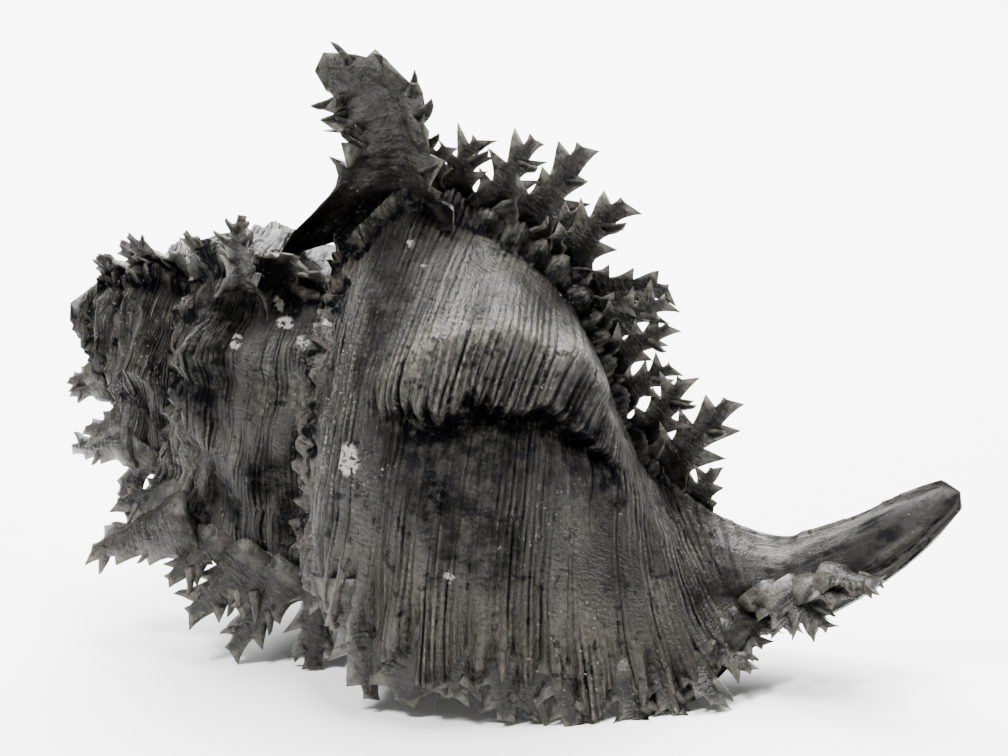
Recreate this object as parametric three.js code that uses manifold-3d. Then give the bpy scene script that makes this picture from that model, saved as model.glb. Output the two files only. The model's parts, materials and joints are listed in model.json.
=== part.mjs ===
// A large three-varix murex shell, lying on its aperture side.
// Millimetres, +Z up. The long way of the shell runs along X with the spire at -X and the
// siphonal canal at +X, and the shell stands on frond tips at Z = 0.
//
// The shell is grown as a coiled sheet. Growth is measured in turns: 0 is the outer lip,
// -1 is one turn earlier. A generating curve runs from the suture over the shoulder and the
// body to the tip of the canal, and each turn of the sheet starts on the turn before it.

import * as THREE from 'three';
import { mergeVertices } from 'three/addons/utils/BufferGeometryUtils.js';
import Module from 'manifold-3d';

const wasm = await Module();
wasm.setup();

const rad = THREE.MathUtils.degToRad;
const TURN = 2 * Math.PI;

// ---------------------------------------------------------------- driving dimensions

// Where the coiling axis lies: it dips towards the canal and swings a little to the front.
const AXIS_SWING = rad(17);
const AXIS_DIP = rad(14.5);
const APEX = new THREE.Vector3(-103.7, 21.1, 76);
const LIP_ANGLE = rad(208);

// Growth laws, as height along the axis and radius.
const SUTURE = { a: 86, rate: 0.72, start: -6, r: 42, rRate: 0.45 };
const SHOULDER = { a: 103.2, rate: 0.64, start: -6.2, r: 65, rRate: 0.48 };
const FIRST_TURN = -4.5;

// The lower part of the generating curve [axis, radius] one turn back, at the last full
// varix, and at the lip.
const VARIX_AT = -0.31;
const LOWER_CURVE = [
  { back: [80, 42], varix: [118, 49], lip: [141, 60] },
  { back: [100, 27], varix: [130, 34], lip: [160, 50] },
  { back: [124, 15], varix: [142, 20], lip: [178, 34] },
  { back: [150, 13], varix: [156, 13.5], lip: [184, 16] },
  { back: [190, 11], varix: [190, 11], lip: [192, 11] },
  { back: [211, 7.5], varix: [211, 7.5], lip: [211, 7.5] },
  { back: [220, 4], varix: [220, 4], lip: [220, 4] },
];

// How the canal leaves the axis: [axis, rise]. It sags first and then turns up.
const CANAL_SWEEP = [
  [0, 0], [100, 0], [130, -3], [152, -8], [172, -11], [188, -9], [200, 1], [211, 14],
  [222, 30],
];

// Steps of the sheet: rows in a turn, and steps in each span of the generating curve.
const ROWS = 40;
const UPPER_STEPS = [2, 2, 2, 3];
const LOWER_STEPS = [3, 2, 2, 3, 2, 1];

// The smallest detail kept, in millimetres.
const FINEST = 0.06;

// Varices: growth position and rib height.
const VARICES = [
  { at: 0, rib: 3 }, { at: -0.31, rib: 7 }, { at: -0.62, rib: 6 }, { at: -0.94, rib: 6 },
  { at: -1.23, rib: 4.5 }, { at: -1.6, rib: 4 }, { at: -1.9, rib: 3.5 },
  { at: -2.23, rib: 2.6 }, { at: -2.58, rib: 2.2 }, { at: -2.9, rib: 1.8 },
  { at: -3.24, rib: 1.3 },
];
const RIB_RISE = 0.055;
const RIB_FALL = 0.014;

// The axial node between the last two varices: a brow that rises slowly and drops sharply.
const BROW = { at: -0.19, rise: 0.09, fall: 0.02, height: 9, from: 2.1, to: 5.7 };

// The aperture: an oval tunnel that shrinks as it coils back into the body.
const APERTURE = { a: 119, r: 43.5, halfLong: 26, halfWide: 18, depth: -0.52, sides: 16 };

// ---------------------------------------------------------------- the coiled frame

const axis = new THREE.Vector3(
  Math.cos(AXIS_SWING) * Math.cos(AXIS_DIP),
  -Math.sin(AXIS_SWING) * Math.cos(AXIS_DIP),
  -Math.sin(AXIS_DIP),
);
const up = new THREE.Vector3(0, 0, 1).addScaledVector(axis, -axis.z).normalize();
const away = new THREE.Vector3().crossVectors(up, axis);

/** Straight-line interpolation in a table of [x, y] pairs. */
function lookUp(table, x) {
  let i = 1;
  while (i < table.length - 1 && table[i][0] < x) i += 1;
  const [x0, y0] = table[i - 1];
  const [x1, y1] = table[i];
  return y0 + (y1 - y0) * ((x - x0) / (x1 - x0));
}

/** A smooth canal rise: the table averaged over a short length. */
function canalRise(a) {
  let sum = 0;
  for (let k = -3; k <= 3; k += 1) sum += lookUp(CANAL_SWEEP, Math.max(0, a + 2.5 * k));
  return sum / 7;
}

/** A point in space from axis height, radius and growth; sections stay square to the canal. */
function place(a, r, t) {
  const angle = LIP_ANGLE + TURN * t;
  const slope = smooth((a - 184) / 14) * (canalRise(a + 2) - canalRise(a - 2)) / 4;
  const high = r * Math.sin(angle) / Math.hypot(1, slope);
  return APEX.clone()
    .addScaledVector(axis, a - slope * high)
    .addScaledVector(away, r * Math.cos(angle))
    .addScaledVector(up, high + canalRise(a));
}

const suture = (t) => [
  SUTURE.a * Math.exp(SUTURE.rate * t) + SUTURE.start,
  SUTURE.r * Math.exp(SUTURE.rRate * t),
];
const shoulder = (t) => [
  SHOULDER.a * Math.exp(SHOULDER.rate * t) + SHOULDER.start,
  SHOULDER.r * Math.exp(SHOULDER.rRate * t),
];

/** A smooth value through its sizes one turn back, at the varix and at the lip. */
function grown(entry, t) {
  const back = (t - VARIX_AT) * t / ((-1 - VARIX_AT) * -1);
  const varix = (t + 1) * t / ((VARIX_AT + 1) * VARIX_AT);
  const lip = (t + 1) * (t - VARIX_AT) / -VARIX_AT;
  return [0, 1].map((k) => back * entry.back[k] + varix * entry.varix[k] + lip * entry.lip[k]);
}

/** Control points of the generating curve at growth t. */
function controls(t) {
  const top = suture(t);
  const widest = shoulder(t);
  const last = t <= -1 ? suture(t + 1) : grown(LOWER_CURVE[0], t);
  const ease = Math.exp(0.6 * t);
  const full = t <= -1 ? 1.2 : 1.2 + 3.8 * (1 + t);
  const points = [
    top,
    [(top[0] + widest[0]) / 2 - ease, (top[1] + widest[1]) / 2 + 1.5 * ease],
    widest,
    [(widest[0] + last[0]) / 2, (widest[1] + last[1]) / 2 + full * Math.exp(0.5 * t)],
    last,
  ];
  if (t >= -1) LOWER_CURVE.slice(1).forEach((entry) => points.push(grown(entry, t)));
  return points;
}

/** Catmull-Rom through the control points at place q (0 is the suture). */
function onCurve(points, q) {
  const i = Math.min(Math.floor(q), points.length - 2);
  const f = q - i;
  const at = (k) => points[Math.min(Math.max(k, 0), points.length - 1)];
  return [0, 1].map((k) => {
    const [p0, p1, p2, p3] = [at(i - 1)[k], at(i)[k], at(i + 1)[k], at(i + 2)[k]];
    const bend = (2 * p0 - 5 * p1 + 4 * p2 - p3) * f * f;
    const twist = (3 * p1 - p0 - 3 * p2 + p3) * f * f * f;
    return 0.5 * (2 * p1 + (p2 - p0) * f + bend + twist);
  });
}

const smooth = (x) => THREE.MathUtils.smoothstep(x, 0, 1);

/** A ridge across the growth direction: slow rise, sharp fall. */
function ridge(t, at, rise, fall) {
  if (t < at) return smooth((t - at + rise) / rise);
  return 1 - smooth((t - at) / fall);
}

/** How far the sheet swells out at growth t and curve place q. */
function swell(t, q) {
  const last = t > -1 ? 7.6 : 4;
  const reach = smooth(q / 1.2) * smooth((last - q) / 1.6);
  let out = 0;
  VARICES.forEach((v) => {
    out += v.rib * ridge(t, v.at, RIB_RISE, RIB_FALL) * reach;
  });
  const span = smooth((q - BROW.from) / 0.7) * smooth((BROW.to - q) / 0.9);
  out += BROW.height * ridge(t, BROW.at, BROW.rise, BROW.fall) * span;
  return out;
}

/** A point of the outer surface. */
function surface(t, q) {
  const [a, r] = onCurve(controls(t), q);
  return place(a, r + swell(t, q), t);
}

// ---------------------------------------------------------------- the shell body

/** Places along the curve for a list of steps in each span. */
function curvePlaces(steps, first) {
  const places = [];
  steps.forEach((n, span) => {
    for (let k = 0; k < n; k += 1) places.push(first + span + k / n);
  });
  return places;
}

/** Growth of row i, counted back from the lip, with rows gathered at the varices. */
function rowGrowth(i) {
  const turns = Math.floor(i / ROWS);
  const f = (i % ROWS) / ROWS;
  return -(turns + f + 0.011 * Math.sin(3 * TURN * f));
}

/** Turns lists of points and index triples into a closed manifold solid. */
function solidFrom(points, triangles) {
  const geometry = new THREE.BufferGeometry();
  const flat = points.flatMap((p) => [p.x, p.y, p.z]);
  geometry.setAttribute('position', new THREE.Float32BufferAttribute(flat, 3));
  geometry.setIndex(triangles.flat());
  const merged = mergeVertices(geometry, 1e-4);
  const index = Array.from(merged.index.array);
  const kept = [];
  for (let i = 0; i < index.length; i += 3) {
    const [a, b, c] = index.slice(i, i + 3);
    if (a !== b && b !== c && c !== a) kept.push(a, c, b);
  }
  const mesh = new wasm.Mesh({
    numProp: 3,
    vertProperties: new Float32Array(merged.getAttribute('position').array),
    triVerts: new Uint32Array(kept),
  });
  return new wasm.Manifold(mesh);
}

/** The body: one coiled sheet, closed at the first turn, at the lip and at the canal tip. */
function shellBody() {
  const upper = curvePlaces(UPPER_STEPS, 0);
  const lower = [...curvePlaces(LOWER_STEPS, UPPER_STEPS.length), 10];
  const rowCount = Math.round(-FIRST_TURN * ROWS);
  const points = [];
  const triangles = [];
  const add = (p) => points.push(p) - 1;
  const quad = (a, b, c, d) => triangles.push([a, b, c], [a, c, d]);

  // Rows run from the lip back to the first turn; each upper row ends on the suture of the
  // row one turn later.
  const rows = [];
  for (let i = 0; i <= rowCount; i += 1) {
    const t = rowGrowth(i);
    const row = upper.map((q) => add(surface(t, q)));
    if (i <= ROWS) lower.forEach((q) => row.push(add(surface(t, q))));
    else row.push(rows[i - ROWS][0]);
    rows.push(row);
  }
  const join = upper.length;
  rows[ROWS][join] = rows[0][0];
  for (let i = 0; i < rowCount; i += 1) {
    const here = rows[i];
    const before = rows[i + 1];
    const count = i < ROWS ? here.length : join + 1;
    for (let j = 0; j < count - 1; j += 1) {
      quad(before[j], before[j + 1], here[j + 1], here[j]);
    }
  }
  capLip(rows[0], rows[ROWS], join, triangles);
  capCanal(rows, points, add, triangles);
  capApex(rows, rowCount, join, add, triangles);
  return solidFrom(points, triangles);
}

/** Closes the lip plane between the lip curve and the curve one turn back. */
function capLip(lip, back, join, triangles) {
  const outer = lip.slice(0, -1);
  const inner = back.slice(join, -1);
  const steps = outer.length - 1;
  const rungs = inner.length - 1;
  let i = 0;
  for (let j = 0; j < steps; j += 1) {
    const target = Math.round(((j + 1) / steps) * rungs);
    triangles.push([outer[j], outer[j + 1], inner[i]]);
    while (i < target) {
      triangles.push([outer[j + 1], inner[i + 1], inner[i]]);
      i += 1;
    }
  }
}

/** Closes the tip of the canal with a low dome. */
function capCanal(rows, points, add, triangles) {
  const ring = rows.slice(0, ROWS + 1).map((row) => row[row.length - 1]);
  const centre = new THREE.Vector3();
  ring.forEach((k) => centre.addScaledVector(points[k], 1 / ring.length));
  const tip = add(centre.addScaledVector(axis, 1.5));
  for (let i = 0; i < ROWS; i += 1) triangles.push([ring[i], ring[i + 1], tip]);
}

/** Closes the first turn with a fan to the apex. */
function capApex(rows, rowCount, join, add, triangles) {
  const tip = add(place(SUTURE.start, 0.2, FIRST_TURN));
  for (let i = rowCount - ROWS; i < rowCount; i += 1) {
    triangles.push([tip, rows[i + 1][0], rows[i][0]]);
  }
  const first = rows[rowCount];
  for (let j = 0; j < join; j += 1) triangles.push([first[j + 1], first[j], tip]);
}

/** The hollow behind the aperture: an oval swept back along the coil. */
function apertureHollow() {
  const stations = [0.05, 0.02, 0, -0.06, -0.14, -0.24, -0.36, -0.46, APERTURE.depth];
  const points = [];
  const triangles = [];
  const n = APERTURE.sides;
  stations.forEach((t) => {
    const back = Math.min(t, 0);
    const size = Math.max(0.12, 1 - Math.pow(back / (APERTURE.depth * 1.02), 2));
    const a = APERTURE.a * Math.exp(0.78 * back);
    const r = APERTURE.r * Math.exp(0.35 * back);
    const scale = Math.exp(0.75 * back) * Math.sqrt(size);
    for (let k = 0; k < n; k += 1) {
      const turn = TURN * k / n;
      const da = APERTURE.halfLong * scale * Math.cos(turn);
      const dr = APERTURE.halfWide * scale * Math.sin(turn);
      points.push(place(a + da, r + dr - 0.12 * da, t));
    }
  });
  for (let i = 0; i < stations.length - 1; i += 1) {
    for (let k = 0; k < n; k += 1) {
      const l = (k + 1) % n;
      const [p, q] = [i * n, (i + 1) * n];
      triangles.push([p + k, p + l, q + l], [p + k, q + l, q + k]);
    }
  }
  const end = (stations.length - 1) * n;
  for (let k = 1; k < n - 1; k += 1) {
    triangles.push([0, k + 1, k], [end, end + k, end + k + 1]);
  }
  return solidFrom(points, triangles);
}

// ---------------------------------------------------------------- fronds

// Half section of a frond: across, then depth; the front is hollowed like a gutter.
const GUTTER = [
  [1, 0.34], [0.62, -0.3], [0, -0.5], [-0.62, -0.3], [-1, 0.34], [-0.4, 0], [0.4, 0],
];

/** Local directions at a place on the surface: out, along the axis, and forward in growth. */
function localFrame(t, q) {
  const here = surface(t, q);
  const along = surface(t, q + 0.05).sub(surface(t, q - 0.05)).normalize();
  const angle = LIP_ANGLE + TURN * t;
  const forward = new THREE.Vector3()
    .addScaledVector(away, -Math.sin(angle))
    .addScaledVector(up, Math.cos(angle));
  const out = new THREE.Vector3().crossVectors(forward, along).normalize();
  if (out.dot(here.clone().sub(place(onCurve(controls(t), q)[0], 0, t))) < 0) out.negate();
  return { here, along, forward, out };
}

/**
 * A hollow-fronted frond. lean tips it towards the canal, fwd towards new growth, and curl
 * bends it on the way; waist and flare shape its width, and slope tilts its foot.
 */
function frond(f) {
  const { here, along, forward, out } = localFrame(f.t, f.q);
  const steps = f.steps ?? 3;
  const sink = f.sink ?? 4;
  const points = [];
  const triangles = [];
  const centre = here.clone();
  const n = GUTTER.length;
  let lean = rad(f.lean ?? 0);
  let fwd = rad(f.fwd ?? 0);
  for (let s = 0; s <= steps; s += 1) {
    const h = s / steps;
    const way = out.clone().multiplyScalar(Math.cos(lean) * Math.cos(fwd))
      .addScaledVector(along, Math.sin(lean)).addScaledVector(forward, Math.sin(fwd))
      .normalize();
    if (s === 0) centre.addScaledVector(way, -sink);
    else centre.addScaledVector(way, (s === 1 ? f.len / steps + sink : f.len / steps));
    const across = new THREE.Vector3().crossVectors(way, forward).normalize();
    const depthWay = new THREE.Vector3().crossVectors(across, way).normalize();
    const mid = (f.waist ?? 0.6) + ((f.flare ?? 0.5) - (f.waist ?? 0.6)) * h;
    const width = f.wide / 2 * (s === 0 ? 1.1 : s === steps ? 0.3 * mid : mid);
    const deep = (f.deep ?? f.wide * 0.45) * (s === steps ? 0.35 : 1 - 0.45 * h);
    const skew = (f.slope ?? 0) * Math.max(0, 1 - 2.5 * h);
    GUTTER.forEach(([x, y]) => {
      points.push(centre.clone().addScaledVector(across, x * width)
        .addScaledVector(depthWay, y * deep).addScaledVector(way, x * width * skew));
    });
    lean += rad(f.curl ?? 0) / steps;
    fwd += rad(f.nod ?? 0) / steps;
  }
  for (let s = 0; s < steps; s += 1) {
    for (let k = 0; k < n; k += 1) {
      const l = (k + 1) % n;
      const [p, q] = [s * n, (s + 1) * n];
      triangles.push([p + k, q + k, q + l], [p + k, q + l, p + l]);
    }
  }
  const last = steps * n;
  const fan = [[0, 1, 6], [1, 5, 6], [1, 2, 5], [2, 3, 5], [3, 4, 5]];
  fan.forEach(([a, b, c]) => {
    triangles.push([a, b, c], [last + a, last + c, last + b]);
  });
  return solidFrom(points, triangles);
}

// Fronds of each varix. q runs from the suture (0) over the shoulder (2) to the canal.
const FRONDS = [
  // The last full varix, along the top: one tall shoulder spine, then a falling row.
  { t: -0.306, q: 1.25, len: 45, wide: 34, waist: 0.58, flare: 0.56, lean: 50, curl: -38,
    fwd: 2, nod: 8, deep: 11, slope: 0.7, steps: 5 },
  { t: -0.312, q: 2.4, len: 14, wide: 10, lean: 8, curl: 20 },
  { t: -0.312, q: 2.85, len: 19, wide: 10, lean: 2, curl: 16 },
  { t: -0.312, q: 3.25, len: 23, wide: 15, lean: -2, curl: -8, waist: 0.8 },
  { t: -0.312, q: 3.75, len: 20, wide: 14, lean: 4, curl: 12, waist: 0.8 },
  { t: -0.312, q: 4.2, len: 18, wide: 12, lean: -2, curl: 12, waist: 0.8 },
  { t: -0.312, q: 4.62, len: 17, wide: 9, lean: -6, curl: 6 },
  { t: -0.312, q: 5.0, len: 16, wide: 8, lean: -8, curl: -4 },
  { t: -0.312, q: 5.4, len: 13, wide: 8, lean: -6, curl: -8 },
  { t: -0.312, q: 6.05, len: 17, wide: 10, lean: -20, curl: -14, waist: 0.8 },
  { t: -0.312, q: 6.75, len: 23, wide: 14, lean: -10, curl: -14, waist: 0.75 },
  { t: -0.312, q: 7.2, len: 9, wide: 8, lean: -6, curl: -8 },
  // The outer lip: two long legs at the spire end, then short crowded gutters.
  { t: -0.012, q: 1.3, len: 12, wide: 12, fwd: 50, lean: 6 },
  { t: -0.012, q: 2.2, len: 26, wide: 17, fwd: 58, nod: 6, lean: 26, deep: 9, waist: 0.8 },
  { t: -0.012, q: 2.9, len: 19, wide: 16, fwd: 52, nod: 6, deep: 8, waist: 0.8 },
  { t: -0.012, q: 3.45, len: 10, wide: 13, fwd: 30, nod: 20 },
  { t: -0.012, q: 3.9, len: 11, wide: 13, fwd: 26, nod: 20 },
  { t: -0.012, q: 4.35, len: 10, wide: 12, fwd: 16, nod: 20 },
  { t: -0.012, q: 4.8, len: 11, wide: 13, fwd: 14, nod: 24 },
  { t: -0.012, q: 5.25, len: 11, wide: 13, fwd: 10, nod: 24 },
  { t: -0.012, q: 5.7, len: 11, wide: 12, fwd: 6, nod: 16 },
  { t: -0.012, q: 6.15, len: 11, wide: 12, fwd: 4, nod: 12 },
  { t: -0.012, q: 6.6, len: 8, wide: 10, fwd: 0, nod: 12 },
  // Fronds under the canal.
  { t: -0.03, q: 7.9, len: 12, wide: 18, fwd: 24, lean: 34, curl: 24, waist: 0.85, flare: 0.7 },
  { t: -0.03, q: 8.3, len: 13, wide: 14, fwd: 18, lean: 38, curl: 24, waist: 0.85, flare: 0.6 },
  // The hidden varix behind: long fronds that reach down and carry the shell.
  { t: -0.622, q: 1.75, len: 36, wide: 22, fwd: -20, nod: -30, lean: -6, deep: 10, steps: 5 },
  { t: -0.622, q: 2.5, len: 48, wide: 20, fwd: -38, nod: -38, lean: 4, deep: 13, steps: 5 },
  { t: -0.622, q: 3.2, len: 47, wide: 18, fwd: -34, nod: -38, deep: 11, steps: 5 },
  { t: -0.622, q: 3.8, len: 22, wide: 12, fwd: -20, nod: -20 },
  { t: -0.622, q: 4.4, len: 20, wide: 12, fwd: -14, nod: -10 },
  { t: -0.622, q: 5.0, len: 17, wide: 11, lean: 6 },
  { t: -0.622, q: 5.7, len: 15, wide: 10, lean: 4 },
  { t: -0.622, q: 6.5, len: 14, wide: 10, lean: -4, curl: -8 },
  // One turn back from the lip: spines low on the spire side.
  { t: -0.942, q: 1.8, len: 25, wide: 22, lean: -28, curl: -4, fwd: 18, nod: 4, deep: 10,
    waist: 0.7, flare: 0.45, steps: 4 },
  { t: -0.942, q: 2.35, len: 12, wide: 9, fwd: 4, lean: -18, curl: -10 },
  { t: -0.942, q: 2.9, len: 19, wide: 16, fwd: 12, lean: -28, curl: -16, waist: 0.8 },
  { t: -0.942, q: 3.55, len: 24, wide: 15, fwd: 26, lean: -12, waist: 0.7 },
  { t: -0.942, q: 3.95, len: 22, wide: 14, fwd: 24, lean: 2, waist: 0.7 },
  // Earlier varices up the spire, smaller and smaller.
  { t: -1.208, q: 2.4, len: 22, wide: 11, lean: 6, curl: -6, fwd: 8, deep: 6, steps: 4 },
  { t: -1.232, q: 2.8, len: 6, wide: 8, lean: 10 },
  { t: -1.602, q: 1.9, len: 17, wide: 14, lean: -4, curl: -14, deep: 6 },
  { t: -1.602, q: 3.0, len: 9, wide: 9 },
  { t: -1.902, q: 1.8, len: 20, wide: 12, lean: -30, curl: -10, fwd: 26, nod: 14, deep: 6 },
  { t: -1.902, q: 2.8, len: 8, wide: 9, fwd: 6 },
  { t: -2.232, q: 1.9, len: 7, wide: 9, lean: -4, curl: -20 },
  { t: -2.582, q: 1.9, len: 8, wide: 8, lean: -10, curl: -20 },
  { t: -2.902, q: 1.9, len: 7, wide: 7, lean: -16, curl: -20 },
  { t: -3.242, q: 1.9, len: 5, wide: 6, lean: -20, curl: -20 },
];

/** Cuts everything below the ground, so the shell stands on small flat tips. */
function groundCut(solid) {
  return solid.trimByPlane([0, 0, 1], 0);
}

// ---------------------------------------------------------------- the part

/** The whole shell as one solid. */
function murexShell() {
  let solid = shellBody();
  FRONDS.forEach((f) => {
    solid = solid.add(frond(f));
  });
  solid = solid.subtract(apertureHollow());
  return groundCut(solid).simplify(FINEST);
}

/** A manifold solid as a three.js geometry. */
function toGeometry(solid) {
  const mesh = solid.getMesh();
  const geometry = new THREE.BufferGeometry();
  geometry.setAttribute('position', new THREE.Float32BufferAttribute(mesh.vertProperties, 3));
  geometry.setIndex(Array.from(mesh.triVerts));
  const faceted = geometry.toNonIndexed();
  faceted.computeVertexNormals();
  return faceted;
}

const shell = new THREE.Mesh(
  toGeometry(murexShell()),
  new THREE.MeshStandardMaterial({ color: 0x4a4742, roughness: 0.62, metalness: 0 }),
);
shell.name = 'shell';

const part = new THREE.Group();
part.name = 'murex_shell';
part.add(shell);

export default part;
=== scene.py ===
"""A large spiny murex shell on a pale studio floor.

The shell is grown the way the animal grows it: a generating curve is swept round a coiling
axis, and every turn starts on the turn before. Ribs, folds, cords and fronds are raised on
that sheet. Sizes inside the shell classes are millimetres; meshes are written in metres.
"""

import json
import logging
from dataclasses import dataclass, field
from enum import Enum
from math import cos, exp, pi, radians, sin

import bmesh
import bpy
import numpy as np
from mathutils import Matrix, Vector

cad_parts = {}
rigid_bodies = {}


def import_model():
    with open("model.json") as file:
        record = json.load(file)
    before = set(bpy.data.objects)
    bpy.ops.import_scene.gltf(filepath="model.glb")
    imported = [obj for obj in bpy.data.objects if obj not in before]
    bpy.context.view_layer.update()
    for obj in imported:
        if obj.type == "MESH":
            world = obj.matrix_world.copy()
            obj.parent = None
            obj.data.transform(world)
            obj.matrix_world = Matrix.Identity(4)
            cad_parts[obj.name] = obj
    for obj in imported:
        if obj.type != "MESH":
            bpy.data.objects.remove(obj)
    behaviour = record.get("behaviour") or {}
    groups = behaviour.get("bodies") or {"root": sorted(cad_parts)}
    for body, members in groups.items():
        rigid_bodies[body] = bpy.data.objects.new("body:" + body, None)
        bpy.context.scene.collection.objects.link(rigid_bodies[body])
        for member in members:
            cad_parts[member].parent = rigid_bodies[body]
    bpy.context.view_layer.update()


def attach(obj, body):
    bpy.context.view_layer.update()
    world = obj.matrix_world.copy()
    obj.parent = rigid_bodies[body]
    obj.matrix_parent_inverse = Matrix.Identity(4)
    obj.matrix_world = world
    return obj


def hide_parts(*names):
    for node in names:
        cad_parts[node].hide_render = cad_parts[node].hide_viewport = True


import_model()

LOG = logging.getLogger("murex")
TURN = 2.0 * pi
MM = 0.001

# Marks along the generating curve: the foot of the body, where the suture of the turn after it
# lies, the meeting of both edges on the canal, and the canal's tip.
BODY_FOOT = 4.0
CANAL_MEET = 9.0
CANAL_TIP = 10.0

# Growth at which columns and cords are evenly spaced, and where the upper turns begin.
EVEN_AT = -0.12
UPPER_TURNS = -0.9

# Cord strength inside the hollows: faint, with the crests sunk.
HOLLOW_CORDS = -0.4

# Surface notes carried by every point, for the finish.
# One note holds painted shade in hollows, creases, under ribs and inside fronds, together with
# real dark stains.
NOTES = ("crest", "deep", "worn", "chalk", "warm", "grow", "cord")

# Chalky crusts on the surface: growth, place along the curve, size.
CHALK = (
    (-0.1, 2.0, 1.5), (-0.19, 0.5, 0.6), (-1.03, 2.4, 0.7), (-1.06, 1.6, 0.6),
    (-1.09, 1.0, 0.6), (-1.19, 3.2, 1.3), (-1.17, 3.6, 1.2), (-1.21, 3.0, 0.9),
    (-1.15, 2.6, 0.8), (-0.02, 0.3, 0.9), (-0.235, 2.4, 0.5), (-0.255, 2.1, 0.5),
    (-0.06, 3.3, 0.5),
)


# ------------------------------------------------------------------ small maths helpers


def smooth(x: np.ndarray | float) -> np.ndarray | float:
    """Smoothstep of x, held at 0 and 1 outside the unit range."""
    x = np.clip(x, 0.0, 1.0)
    return x * x * (3.0 - 2.0 * x)


def bell(x: np.ndarray | float, middle: float, spread: float) -> np.ndarray | float:
    """A soft bump of height 1 at middle."""
    return np.exp(-(((x - middle) / spread) ** 2))


def ridge(t: np.ndarray | float, at: float, rise: float, fall: float) -> np.ndarray:
    """A ridge across the growth direction, slow to rise and quick to fall.

    Args:
        t: growth positions in turns.
        at: where the crest is.
        rise: turns from the foot to the crest.
        fall: turns from the crest to the new growth.

    Returns:
        Heights from 0 to 1.
    """
    t = np.asarray(t, float)
    up = smooth((t - at + rise) / rise)
    down = 1.0 - smooth((t - at) / fall)
    return np.where(t < at, up, down)


class Grain:
    """Repeatable smooth random texture over a plane."""

    def __init__(self, seed: int, size: int = 256) -> None:
        """Fills the table of random heights."""
        self.size = size
        self.table = np.random.default_rng(seed).uniform(-1.0, 1.0, (size, size))

    def at(self, x: np.ndarray | float, y: np.ndarray | float) -> np.ndarray:
        """Height from -1 to 1.

        Args:
            x: first coordinate, one random value to a unit.
            y: second coordinate.

        Returns:
            Smoothly interpolated heights.
        """
        x, y = np.broadcast_arrays(np.asarray(x, float), np.asarray(y, float))
        ix, iy = np.floor(x).astype(int), np.floor(y).astype(int)
        fx, fy = smooth(x - ix), smooth(y - iy)
        n, table = self.size, self.table
        a, b = table[ix % n, iy % n], table[(ix + 1) % n, iy % n]
        c, d = table[ix % n, (iy + 1) % n], table[(ix + 1) % n, (iy + 1) % n]
        return (a * (1 - fx) + b * fx) * (1 - fy) + (c * (1 - fx) + d * fx) * fy


# ------------------------------------------------------------------ the coil


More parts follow.
